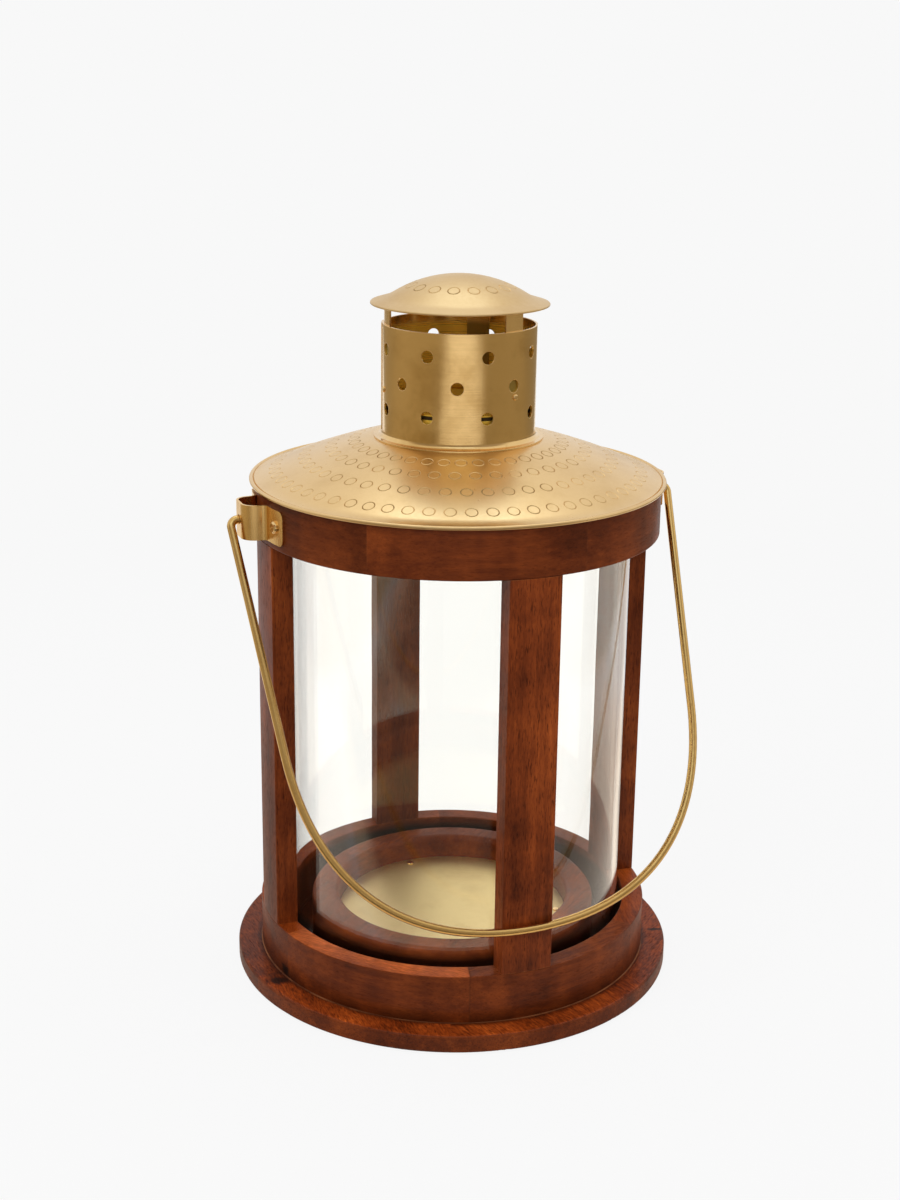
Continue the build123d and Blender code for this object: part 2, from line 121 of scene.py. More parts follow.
class Graph:
    """The node tree of a material or of the world."""

    def __init__(self, tree: bpy.types.NodeTree) -> None:
        """Empties a tree to draw in."""
        self.tree = tree
        tree.nodes.clear()

    def node(self, kind: str, settings: dict[str, object], sockets: dict[str | int, Input],
             output: str | int = 0) -> Signal:
        """Adds a node.

        Args:
            kind: The node's type.
            settings: Its settings, set first. "stops" holds a ramp's positions and colours.
            sockets: Values or links of its inputs, by name or index.
            output: The output to return.

        Returns:
            The wanted output, or an empty signal if the node has none.
        """
        made = self.tree.nodes.new(kind)
        for name, value in settings.items():
            if name == "stops":
                self._set_stops(made.color_ramp, value)
            else:
                setattr(made, name, value)
        for name, value in sockets.items():
            if isinstance(value, Signal):
                self.tree.links.new(value.socket, made.inputs[name])
            else:
                made.inputs[name].default_value = value
        return Signal(self, made.outputs[output] if len(made.outputs) else None)

    @staticmethod
    def _set_stops(ramp: bpy.types.ColorRamp, stops: tuple[tuple[float, Colour], ...]) -> None:
        """Fills a colour ramp.

        Args:
            ramp: The ramp, with its two stock stops.
            stops: Positions and colours, at least two.
        """
        while len(ramp.elements) < len(stops):
            ramp.elements.new(1.0)
        for element, (position, colour) in zip(ramp.elements, stops):
            element.position = position
            element.color = (*colour, 1.0)

    def maths(self, operation: str, *values: Number) -> Signal:
        """Adds a Math node."""
        return self.node("ShaderNodeMath", {"operation": operation}, dict(enumerate(values)))

    def vector(self, operation: str, *values: Input, output: str = "Vector") -> Signal:
        """Adds a Vector Math node."""
        return self.node("ShaderNodeVectorMath", {"operation": operation}, dict(enumerate(values)), output)

    def axis(self, vector: Signal, name: str) -> Signal:
        """One coordinate of a vector."""
        return self.node("ShaderNodeSeparateXYZ", {}, {0: vector}, name)

    def length(self, vector: Signal) -> Signal:
        """Length of a vector."""
        return self.vector("LENGTH", vector, output="Value")

    def radius(self, where: Signal) -> Signal:
        """Distance from the lantern's axis."""
        return self.length(self.vector("MULTIPLY", where, (1, 1, 0)))

    def mix(self, share: Number, first: Input, second: Input, blend: str = "MIX") -> Signal:
        """Mixes two colours.

        Args:
            share: The second colour's share.
            first: The first colour.
            second: The second colour.
            blend: The way of mixing.

        Returns:
            The mixed colour.
        """
        settings = {"data_type": "RGBA", "blend_type": blend, "clamp_factor": True}
        first = (*first, 1.0) if isinstance(first, tuple) else first
        second = (*second, 1.0) if isinstance(second, tuple) else second
        return self.node("ShaderNodeMix", settings, {0: share, 6: first, 7: second}, 2)

    def place(self, vector: Signal, shift: Triple = ORIGIN, turn: Triple = ORIGIN,
              scale: Triple = UNIT) -> Signal:
        """Scales, turns and then shifts coordinates."""
        sockets = {"Vector": vector, "Location": shift, "Rotation": turn, "Scale": scale}
        return self.node("ShaderNodeMapping", {}, sockets)

    def position(self) -> Signal:
        """The piece's own coordinates, in metres."""
        return self.node("ShaderNodeTexCoord", {}, {}, "Object")

    def facing(self) -> Signal:
        """The way that the surface faces."""
        return self.node("ShaderNodeNewGeometry", {}, {}, "Normal")

    def rounded(self, width: float) -> Signal:
        """The way that it faces with its edges softened over a width in metres."""
        return self.node("ShaderNodeBevel", {"samples": EDGE_SAMPLES}, {"Radius": width})

    def ray(self, kind: str) -> Signal:
        """One output of the Light Path: 1 for one kind of ray, or a count of turns."""
        return self.node("ShaderNodeLightPath", {}, {}, kind)

    def bump(self, height: Signal, strength: float, distance: float, edge: float = 0.0) -> Signal:
        """Surface relief.

        Args:
            height: Relief from 0 to 1.
            strength: How much of it shows.
            distance: Its depth in metres.
            edge: Width of the softened edges in metres, if any.

        Returns:
            The bent normal.
        """
        sockets = {"Height": height, "Strength": strength, "Distance": distance}
        if edge:
            sockets["Normal"] = self.rounded(edge)
        return self.node("ShaderNodeBump", {}, sockets)

    def finish(self, shader: Signal) -> None:
        """Sends a shader to a material's output."""
        self.node("ShaderNodeOutputMaterial", {}, {"Surface": shader})

    def blend(self, share: Signal, first: Signal, second: Signal) -> None:
        """Ends a material in a mix of two shaders, by the second one's share."""
        self.finish(self.node("ShaderNodeMixShader", {}, {0: share, 1: first, 2: second}))

    def principled(self, sockets: dict[str, Input]) -> Signal:
        """Adds a Principled shader."""
        return self.node("ShaderNodeBsdfPrincipled", {}, sockets)


@dataclass(frozen=True)
class Layer:
    """A layer of cloud noise, with values round 0.5.

    Attributes:
        scale: Clouds in a metre, along each axis.
        shift: Offset that sets it apart from other layers.
        detail: Number of finer clouds in it.
        roughness: Strength of the finer clouds.
    """

    scale: Triple
    shift: Triple = ORIGIN
    detail: float = 2.0
    roughness: float = 0.5

    def draw(self, graph: Graph, where: Signal) -> Signal:
        """Draws the layer in a material.

        Args:
            graph: The material's tree.
            where: The coordinates to read it at.

        Returns:
            The noise.
        """
        clouds = graph.place(where, self.shift, scale=self.scale)
        sockets = {"Vector": clouds, "Scale": 1.0, "Detail": self.detail, "Roughness": self.roughness}
        return graph.node("ShaderNodeTexNoise", {}, sockets)


def new_material(name: str) -> tuple[bpy.types.Material, Graph]:
    """Starts a material.

    Args:
        name: Its name.

    Returns:
        The material and its empty node tree.
    """
    material = bpy.data.materials.new(name)
    material.use_nodes = True
    return material, Graph(material.node_tree)


# Finishes


class GrainLine(Enum):
    """The way that a board's grain runs."""

    LEVEL = "level"
    UPRIGHT = "upright"


@dataclass(frozen=True)
class Knot:
    """A dark knot in a board, in millimetres and degrees.

    Attributes:
        place: Its middle.
        reach: How far it reaches along, across and up.
        turn: Angle of its length from +X.
    """

    place: Triple
    reach: Triple
    turn: float = 0.0


@dataclass(frozen=True)
class StainedWood:
    """Hardwood with a red-brown stain under satin lacquer, one board of it.

    The spans of its dark places are in metres, from where each starts to where it is full; those of the
    groove and the foot place painted shade. A name that ends in DARK is the share of the dark colour there.

    Attributes:
        name: Name of the material.
        line: Whether the grain runs level or upright.
        heading: For level grain, its direction in the plan, degrees from +X.
        board: Number of the board, which shifts its figure.
        tone: Brightness of the stain.
        figure: How strongly the light and dark bars across the grain show.
        flecks: How strongly the pores show.
        banding: How strongly the broad bands along the grain show.
        top: Colour of its top face against its sides.
        dark_ends: Azimuths of glue joints where the stain has soaked in, in degrees.
        knots: Dark knots in it.
        seams: Azimuths of glue joints that show as a dark hairline, in degrees.
    """

    name: str
    line: GrainLine
    heading: float
    board: int
    tone: float = 1.0
    figure: float = 0.5
    flecks: float = 0.5
    banding: float = 0.8
    top: Colour = WHITE
    dark_ends: tuple[float, ...] = ()
    knots: tuple[Knot, ...] = ()
    seams: tuple[float, ...] = ()

    # Darkest stain, the colour of pores and soaked joints, and also painted shade at the lower ring's foot.
    DEEP_STAIN_AND_SHADE: ClassVar[Colour] = (0.0240, 0.0042, 0.0011)
    BODY: ClassVar[Colour] = (0.1120, 0.0205, 0.0036)
    WARM: ClassVar[Colour] = (0.2080, 0.0415, 0.0070)
    GOLD: ClassVar[Colour] = (0.3600, 0.0860, 0.0145)
    WORN: ClassVar[Colour] = (0.4000, 0.1450, 0.0500)
    # Near black: the colour of the knots, and painted shade in the groove round the cup.
    NEAR_BLACK: ClassVar[Colour] = (0.0060, 0.0018, 0.0008)
    STOPS: ClassVar[tuple[tuple[float, Colour], ...]] = (
        (0.0, DEEP_STAIN_AND_SHADE), (0.38, BODY), (0.68, WARM), (1.0, GOLD))

    FIBRE: ClassVar[Layer] = Layer((28, 460, 460), ORIGIN, 4.0, 0.62)
    HATCH: ClassVar[Layer] = Layer((330, 1500, 1500), (0, 0, 4.4), 2.0, 0.6)
    BANDS: ClassVar[Layer] = Layer((6, 48, 48), (3.1, 0, 0))
    BARS: ClassVar[Layer] = Layer((105, 26, 26), (0, 5.7, 0))
    PATCH: ClassVar[Layer] = Layer((44, 44, 44), (0, 0, 9.2))
    PORES: ClassVar[Layer] = Layer((230, 2100, 2100), (0, 1.3, 0), 2.0, 0.6)
    BOARD_STEP: ClassVar[Triple] = (0.731, 0.731 * 1.7, 0.731 * 0.6)

    # The GROOVE and FOOT spans place painted shade: in the groove round the cup and at the lower ring's foot.
    GROOVE_INSIDE: ClassVar[Span] = (0.0600, 0.0640)
    GROOVE_OUTSIDE: ClassVar[Span] = (0.0803, 0.0796)
    GROOVE_TOP: ClassVar[Span] = (0.0297, 0.0245)
    GROOVE_DARK: ClassVar[float] = 0.95
    FOOT_INSIDE: ClassVar[Span] = (0.0882, 0.0888)
    FOOT_OUTSIDE: ClassVar[Span] = (0.0922, 0.0893)
    FOOT_TOP: ClassVar[Span] = (0.0175, 0.0082)
    FOOT_DARK: ClassVar[float] = 0.75
    SOAKED_END: ClassVar[Span] = (0.009, 0.0005)
    SOAKED_RIM: ClassVar[Span] = (0.0985, 0.0960)
    SOAKED_DARK: ClassVar[float] = 0.85
    HAIRLINE: ClassVar[Span] = (0.0006, 0.0002)
    HAIRLINE_DARK: ClassVar[float] = 0.3
    KNOT_EDGE: ClassVar[Span] = (1.15, 0.35)
    KNOT_DARK: ClassVar[float] = 0.93

    PORE_EDGE: ClassVar[Span] = (0.54, 0.68)
    FOOT_PATCH: ClassVar[Span] = (0.25, 0.60)
    SOAKED_PATCH: ClassVar[Span] = (0.40, 0.56)
    FACES_UP: ClassVar[Span] = (0.75, 0.97)
    WORN_WIDTH: ClassVar[float] = 0.9 * MM
    WORN_TURN: ClassVar[Span] = (0.01, 0.16)
    WORN_FIBRE: ClassVar[Span] = (0.30, 0.70)
    WORN_SHARE: ClassVar[float] = 0.45
    JOINT_TURN: ClassVar[Span] = (0.06, 0.25)

    ROUGHNESS: ClassVar[float] = 0.42
    SHEEN: ClassVar[float] = 0.095
    LACQUER: ClassVar[float] = 0.16
    LACQUER_ROUGHNESS: ClassVar[float] = 0.2
    LACQUER_IOR: ClassVar[float] = 1.4
    PORE_DEPTH: ClassVar[float] = 0.12 * MM

    def make(self) -> bpy.types.Material:
        """Draws the board's material.

        Returns:
            The material.
        """
        material, graph = new_material(self.name)
        where = graph.position()
        along = self._along(graph, where)
        fibre = self.FIBRE.draw(graph, along)
        patch = self.PATCH.draw(graph, along)
        pore = self.PORES.draw(graph, along).ramp(*self.PORE_EDGE) * (0.45 + fibre * 0.8)
        level = self._level_face(graph)
        depth = self._depth(graph, along, level, fibre, patch)
        stain = graph.node("ShaderNodeValToRGB", {"stops": self.STOPS}, {"Fac": depth})
        stain = graph.mix(1.0, stain, (self.tone,) * 3, "MULTIPLY")
        # Painted light: the top face is made lighter than the sides, with a painted sheen where the tint is
        # pale.
        stain = graph.mix(level, stain, self.top, "MULTIPLY")
        stain = graph.mix(pore * self.flecks, stain, self.DEEP_STAIN_AND_SHADE)
        stain = self._shade_and_soak(graph, where, patch, stain)
        for knot in self.knots:
            stain = graph.mix(self._knot_share(graph, where, fibre, knot), stain, self.NEAR_BLACK)
        worn = self._worn_edge(graph, where, fibre)
        graph.finish(graph.principled({
            "Base Color": graph.mix(worn, stain, self.WORN),
            "Roughness": self.ROUGHNESS + patch * 0.14 + pore * 0.2,
            "Specular IOR Level": self.SHEEN,
            "Coat Weight": self.LACQUER - pore * 0.12 - worn * 0.1,
            "Coat Roughness": self.LACQUER_ROUGHNESS,
            "Coat IOR": self.LACQUER_IOR,
            "Normal": graph.bump(fibre * 0.4 + (1.0 - pore), 0.25, self.PORE_DEPTH),
        }))
        return material

    def _along(self, graph: Graph, where: Signal) -> Signal:
        """Coordinates whose X runs along the grain.

        Args:
            graph: The material's tree.
            where: The piece's own coordinates.

        Returns:
            The turned and shifted coordinates.
        """
        turn = (0, 0, -math.radians(self.heading))
        if self.line is GrainLine.UPRIGHT:
            turn = (0, math.pi / 2, 0)
        return graph.place(where, tuple(step * self.board for step in self.BOARD_STEP), turn)

    def _depth(self, graph: Graph, along: Signal, level: Signal, fibre: Signal, patch: Signal) -> Signal:
        """Tells how far the stain goes from its shadow to its gold.

        Args:
            graph: The material's tree.
            along: Coordinates along the grain.
            level: 1 on the board's top face.
            fibre: Noise of the fibres.
            patch: Noise of the broad patches.

        Returns:
            A value from 0 to 1.
        """
        hatch = self.HATCH.draw(graph, along)
        bands = self.BANDS.draw(graph, along)
        bars = self.BARS.draw(graph, along)
        depth = 0.45 + (fibre - 0.5) * 0.6 + (hatch - 0.5) * (self.flecks * (0.5 + level))
        depth = depth + (bands - 0.5) * self.banding + (bars - 0.5) * (0.9 * self.figure)
        return depth + (patch - 0.5) * (0.35 + 0.5 * self.figure)

    def _shade_and_soak(self, graph: Graph, where: Signal, patch: Signal, stain: Signal) -> Signal:
        """Darkens the groove round the cup and the lower ring's foot with painted shade, and the glue joints
        where the stain soaked in.

        Args:
            graph: The material's tree.
            where: The piece's own coordinates.
            patch: Noise that makes the dark places uneven.
            stain: The stain's colour elsewhere.

        Returns:
            The colour with its dark places.
        """
        radius = graph.radius(where)
        height = graph.axis(where, "Z")
        # Painted shade: the groove round the cup and the cup's lower wall are painted nearly black.
        groove = radius.band(self.GROOVE_INSIDE, self.GROOVE_OUTSIDE) * height.ramp(*self.GROOVE_TOP)
        stain = graph.mix(groove * self.GROOVE_DARK, stain, self.NEAR_BLACK)
        # Painted shade: the lower ring's foot and the base next to it darken where the two meet.
        foot = radius.band(self.FOOT_INSIDE, self.FOOT_OUTSIDE) * height.ramp(*self.FOOT_TOP)
        foot = foot * patch.ramp(*self.FOOT_PATCH)
        stain = graph.mix(foot * self.FOOT_DARK, stain, self.DEEP_STAIN_AND_SHADE)
        for end in self.dark_ends:
            soaked = self._from_joint(graph, where, end).ramp(*self.SOAKED_END)
            soaked = soaked * patch.ramp(*self.SOAKED_PATCH) * radius.ramp(*self.SOAKED_RIM)
            stain = graph.mix(soaked * self.SOAKED_DARK, stain, self.DEEP_STAIN_AND_SHADE)
        for seam in self.seams:
            line = self._from_joint(graph, where, seam).ramp(*self.HAIRLINE)
            stain = graph.mix(line * self.HAIRLINE_DARK, stain, self.DEEP_STAIN_AND_SHADE)
        return stain

    @staticmethod
    def _from_joint(graph: Graph, where: Signal, azimuth: float) -> Signal:
        """Distance in metres from a glue joint at an azimuth in degrees."""
        side = graph.place(where, turn=(0, 0, -math.radians(azimuth)))
        return abs(graph.axis(side, "X"))

    def _level_face(self, graph: Graph) -> Signal:
        """1 where the surface faces up, otherwise 0."""
        return graph.axis(graph.facing(), "Z").ramp(*self.FACES_UP)

    def _knot_share(self, graph: Graph, where: Signal, fibre: Signal, knot: Knot) -> Signal:
        """Tells where a knot is.

        Args:
            graph: The material's tree.
            where: The piece's own coordinates.
            fibre: Fibre noise that breaks its outline up.
            knot: The knot.

        Returns:
            Nearly 1 in the knot, 0 outside it.
        """
        centred = graph.place(where, tuple(-part * MM for part in knot.place))
        turned = graph.place(centred, turn=(0, 0, -math.radians(knot.turn)))
        sized = graph.place(turned, scale=tuple(1 / (part * MM) for part in knot.reach))
        return (graph.length(sized) + (fibre - 0.5) * 1.2).ramp(*self.KNOT_EDGE) * self.KNOT_DARK

    def _worn_edge(self, graph: Graph, where: Signal, fibre: Signal) -> Signal:
        """Thin lines along the edges where the stain has rubbed through, fainter at glue joints.

        Args:
            graph: The material's tree.
            where: The piece's own coordinates.
            fibre: Fibre noise that breaks the line up.

        Returns:
            The share of worn surface.
        """
        rounded = graph.rounded(self.WORN_WIDTH)
        flat = graph.vector("DOT_PRODUCT", rounded, graph.facing(), output="Value")
        worn = (1.0 - flat).ramp(*self.WORN_TURN) * fibre.ramp(*self.WORN_FIBRE) * self.WORN_SHARE
        if self.line is GrainLine.UPRIGHT:
            return worn
        spoke = graph.vector("MULTIPLY", where, (10, 10, 0))
        joint = abs(graph.axis(graph.vector("CROSS_PRODUCT", spoke, rounded), "Z"))
        return worn * (1.0 - 0.8 * joint.ramp(*self.JOINT_TURN))


class Brushing(Enum):
    """The way that a brass surface was rubbed, as scales along X, Y and Z."""

    NONE = (700, 700, 700)
    ROUND = (9, 9, 1900)
    ACROSS = (1500, 1500, 60)


@dataclass(frozen=True)
class SatinBrass:
    """Sheet or wire brass with a satin surface.

    The spans of the flue's inside, whose colour is painted light and shade, are in metres, from where
    each starts to where it is full.

    Attributes:
        name: Name of the material.
        brushing: The way that it was rubbed.
        roughness: How dull it is.
        tarnish: How much browner patches show.
        relief: Strength of the brushed lines.
        clean: Its colour where it is clean.
        flue_light_and_shade: Its colour inside the chimney: a bright one is painted light, a dark one painted
            shade.
        edge: Width of the softened edges that catch the light, in millimetres.
    """

    name: str
    brushing: Brushing
    roughness: float = 0.3
    tarnish: float = 0.35
    relief: float = 0.05
    clean: Colour = (0.800, 0.545, 0.250)
    flue_light_and_shade: Colour = (0.960, 0.640, 0.085)
    edge: float = 0.0

    BROWN: ClassVar[Colour] = (0.510, 0.290, 0.082)
    CLOUD: ClassVar[Layer] = Layer((38, 38, 38), ORIGIN, 4.0, 0.6)
    GRIT: ClassVar[Layer] = Layer((2600, 2600, 2600), (2.0, 0, 0), 1.0)
    SPOTS: ClassVar[Layer] = Layer((240, 240, 240), (0, 4.0, 0))
    CLOUD_EDGE: ClassVar[Span] = (0.42, 0.75)
    SPOT_EDGE: ClassVar[Span] = (0.66, 0.78)
    FLUE_WALL: ClassVar[Span] = (0.0330, 0.0326)
    FLUE_TOP: ClassVar[Span] = (0.2925, 0.2885)
    FLUE_FOOT: ClassVar[Span] = (0.2465, 0.2480)
    BRUSH_DEPTH: ClassVar[float] = 0.08 * MM

    def make(self) -> bpy.types.Material:
        """Draws the brass.

        Returns:
            The material.
        """
        material, graph = new_material(self.name)
        where = graph.position()
        cloud = self.CLOUD.draw(graph, where)
        lines = Layer(self.brushing.value, ORIGIN, 3.0, 0.6).draw(graph, where)
        grit = self.GRIT.draw(graph, where)
        spots = self.SPOTS.draw(graph, where)
        # Inside the flue the colour is painted: light on the chimney's wall, shade on the legs and the neck.
        flue_film_and_light = self._in_flue(graph, where)
        brown = cloud.ramp(*self.CLOUD_EDGE) * self.tarnish
        brown = brown + spots.ramp(*self.SPOT_EDGE) * (0.35 * self.tarnish)
        colour = graph.mix(brown + (lines - 0.5) * 0.2, self.clean, self.BROWN)
        roughness = self.roughness + (cloud - 0.5) * 0.05 + (lines - 0.5) * 0.12
        brushed = (lines * 0.7 + grit * 0.3) * (1.0 - flue_film_and_light)
        graph.finish(graph.principled({
            "Base Color": graph.mix(flue_film_and_light, colour, self.flue_light_and_shade),
            "Metallic": 1.0 - flue_film_and_light * 0.5,
            "Roughness": roughness + flue_film_and_light * 0.1,
            "Normal": graph.bump(brushed, self.relief, self.BRUSH_DEPTH, self.edge * MM),
        }))
        return material

    def _in_flue(self, graph: Graph, where: Signal) -> Signal:
        """1 on the walls inside the chimney, where a film from the candle dulls the brass and its colour is
        painted light and shade, 0 elsewhere.
        """
        wall = graph.radius(where).ramp(*self.FLUE_WALL)
        return wall * graph.axis(where, "Z").band(self.FLUE_TOP, self.FLUE_FOOT)


@dataclass(frozen=True)
class PunchedLine:
    """Dulled brass in the bottom of a punched line, rubbed bright in patches, and painted fainter towards the
    left and right, where the lid's reflection washes the lines out.

    Attributes:
        name: Name of the material.
    """

    name: str

    BRIGHT: ClassVar[Colour] = (0.760, 0.500, 0.215)
    DULL: ClassVar[Colour] = (0.370, 0.225, 0.080)
    GRIT: ClassVar[Layer] = Layer((420, 420, 420))
    RUBBED: ClassVar[Layer] = Layer((55, 55, 55), (7.0, 0, 0), 3.0)
    RUBBED_EDGE: ClassVar[Span] = (0.35, 0.65)
    ASIDE: ClassVar[Span] = (0.025, 0.070)
    GRIT_DEPTH: ClassVar[float] = 0.05 * MM

    def make(self) -> bpy.types.Material:
        """Draws the dulled brass.

        Returns:
            The material.
        """
        material, graph = new_material(self.name)
        where = graph.position()
        grit = self.GRIT.draw(graph, where)
        # Painted reflection: the lines fade towards the left and right, where the lid's reflection washes
        # them out.
        aside = abs(graph.axis(where, "X")).ramp(*self.ASIDE)
        rubbed = self.RUBBED.draw(graph, where).ramp(*self.RUBBED_EDGE)
        dull = rubbed * (0.4 + grit) * (1.0 - 0.7 * aside)
        graph.finish(graph.principled({
            "Base Color": graph.mix(dull, self.BRIGHT, self.DULL),
            "Metallic": 1.0,
            "Roughness": 0.36 + grit * 0.16,
            "Normal": graph.bump(grit, 0.15, self.GRIT_DEPTH),
        }))
        return material


@dataclass(frozen=True)
class DrawnGlass:
    """Clear glass that lets lamplight through to what stands behind it.

    Attributes:
        name: Name of the material.
    """

    name: str

    TINT: ClassVar[tuple[float, ...]] = (0.990, 0.990, 0.966, 1.0)
    IOR: ClassVar[float] = 1.5
    FILM: ClassVar[Layer] = Layer((30, 30, 14), ORIGIN, 3.0)
    FILM_EDGE: ClassVar[Span] = (0.45, 0.80)
    FILM_ROUGHNESS: ClassVar[float] = 0.03
    SWAY: ClassVar[Layer] = Layer((26, 26, 34), (0, 3.0, 0), 1.0)
    SWAY_DEPTH: ClassVar[float] = 2.0 * MM

    def make(self) -> bpy.types.Material:
        """Draws the glass.

        Returns:
            The material.
        """
        material, graph = new_material(self.name)
        where = graph.position()
        clear = graph.principled({
            "Base Color": self.TINT,
            "Roughness": self.FILM.draw(graph, where).ramp(*self.FILM_EDGE) * self.FILM_ROUGHNESS,
            "IOR": self.IOR,
            "Transmission Weight": 1.0,
            "Normal": graph.bump(self.SWAY.draw(graph, where), 0.03, self.SWAY_DEPTH),
        })
        through = graph.node("ShaderNodeBsdfTransparent", {}, {"Color": self.TINT})
        graph.blend(graph.ray("Is Shadow Ray"), clear, through)
        return material


@dataclass(frozen=True)
class LacquerSeam:
    """Thick lacquer that has gathered and paled in a seam, less so in front.

    Attributes:
        name: Name of the material.
    """

    name: str

    PALE: ClassVar[Colour] = (0.300, 0.105, 0.038)
    RED: ClassVar[Colour] = (0.090, 0.021, 0.006)
    PATCH: ClassVar[Layer] = Layer((60, 60, 60), ORIGIN, 3.0)
    PALE_EDGE: ClassVar[Span] = (0.30, 0.62)
    ASIDE: ClassVar[Span] = (0.012, 0.060)
    SHEEN: ClassVar[float] = 0.1

    def make(self) -> bpy.types.Material:
        """Draws the lacquer.

        Returns:
            The material.
        """
        material, graph = new_material(self.name)
        where = graph.position()
        patch = self.PATCH.draw(graph, where)
        aside = abs(graph.axis(where, "X")).ramp(*self.ASIDE)
        pale = patch.ramp(*self.PALE_EDGE) * (0.25 + aside * 0.75)
        graph.finish(graph.principled({
            "Base Color": graph.mix(pale, self.RED, self.PALE),
            "Roughness": 0.3 + patch * 0.2,
            "Specular IOR Level": self.SHEEN,
        }))
        return material


# Pieces


def dress(node: str, material: bpy.types.Material) -> None:
    """Gives a CAD node its finish.

    Args:
        node: The node's name.
        material: The finish.
    """
    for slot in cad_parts[node].material_slots:
        slot.material = material
    LOG.info("dressed %s in %s", node, material.name)


def azimuth_of(node: str) -> float:
    """Azimuth of the middle of a node, degrees from the front towards +X.

    Args:
        node: The node's name.

    Returns:
        The azimuth.
    """
    low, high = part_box(node)
    middle = (low + high) / 2
    return math.degrees(math.atan2(middle.x, -middle.y))


def sharpen(shape: bmesh.types.BMesh, limit: float) -> None:
    """Shades a mesh smooth, apart from its sharp edges.

    Args:
        shape: The mesh.
        limit: Edges that turn by more than this many degrees stay sharp.
    """
    for face in shape.faces:
        face.smooth = True
    for edge in shape.edges:
        edge.smooth = edge.calc_face_angle(0.0) < math.radians(limit)


def make_piece(name: str, shape: bmesh.types.BMesh, body: str,
               materials: list[bpy.types.Material]) -> bpy.types.Object:
    """Turns a bmesh into a piece that rides on a body.

    Args:
        name: The piece's name.
        shape: Its mesh, in the object's frame. It is freed.
        body: The body that it moves with.
        materials: Its materials, by face index.

    Returns:
        The piece.
    """
    mesh = bpy.data.meshes.new(name)
    shape.to_mesh(mesh)
    shape.free()
    for material in materials:
        mesh.materials.append(material)
    piece = bpy.data.objects.new(name, mesh)
    bpy.context.scene.collection.objects.link(piece)
    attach(piece, body)
    LOG.info("made %s: %d faces, rides on %s", name, len(mesh.polygons), body)
    return piece


def draw_profile(shape: bmesh.types.BMesh, points: Profile, closed: bool = False) -> list[bmesh.types.BMEdge]:
    """Draws a chain of edges in the XZ plane.

    Args:
        shape: The mesh to draw in.
        points: Radius and height of each corner, in millimetres.
        closed: Whether the last corner joins the first.

    Returns:
        The edges.
    """
    corners = [shape.verts.new((radius * MM, 0.0, height * MM)) for radius, height in points]
    following = corners[1:] + corners[:1] if closed else corners[1:]
    return [shape.edges.new(pair) for pair in zip(corners, following)]


def turn_profile(shape: bmesh.types.BMesh, edges: list[bmesh.types.BMEdge], steps: int) -> None:
    """Spins a chain of edges once round the lantern's axis and closes the seam.

    Args:
        shape: The mesh that holds the edges.
        edges: The chain.
        steps: Number of steps in the turn.
    """
    corners = list(dict.fromkeys(corner for edge in edges for corner in edge.verts))
    bmesh.ops.spin(shape, geom=corners + edges, cent=(0, 0, 0), axis=(0, 0, 1), dvec=(0, 0, 0),
                   angle=FULL_TURN, steps=steps, use_merge=True, use_normal_flip=False,
                   use_duplicate=False)
    bmesh.ops.remove_doubles(shape, verts=shape.verts, dist=0.0005 * MM)


def spread(start: float, end: float, steps: int) -> list[float]:
    """Evenly spread values.

    Args:
        start: The first value.
        end: The last value.
        steps: Number of steps between them.

    Returns:
        The values, both ends included.
    """
    return [start + (end - start) * step / steps for step in range(steps + 1)]


def arc_points(centre: Span, radius: float, start: float, end: float, steps: int) -> Profile:
    """Points along an arc.

    Args:
        centre: The arc's centre.
        radius: Its radius.
        start: First angle in degrees.
        end: Last angle in degrees.
        steps: Number of steps between them.

    Returns:
        The points, both ends included.
    """
    angles = [math.radians(angle) for angle in spread(start, end, steps)]
    return [(centre[0] + radius * math.cos(a), centre[1] + radius * math.sin(a)) for a in angles]


class Skin(IntEnum):
    """Material indexes of a punched sheet."""

    SHEET = 0
    LINE = 1
    # The near-black skin is painted shade under the lid neck's rolled edge.
    NEAR_BLACK = 2


@dataclass(frozen=True)
class MarkRow:
    """A row of punched circles round the axis, in millimetres and degrees.

    Attributes:
        radius: Radius of the row.
        count: Number of circles.
        first: Azimuth of one circle.
        reach: Half the width of the band that holds the row.
    """

    radius: float
    count: int
    first: float
    reach: float


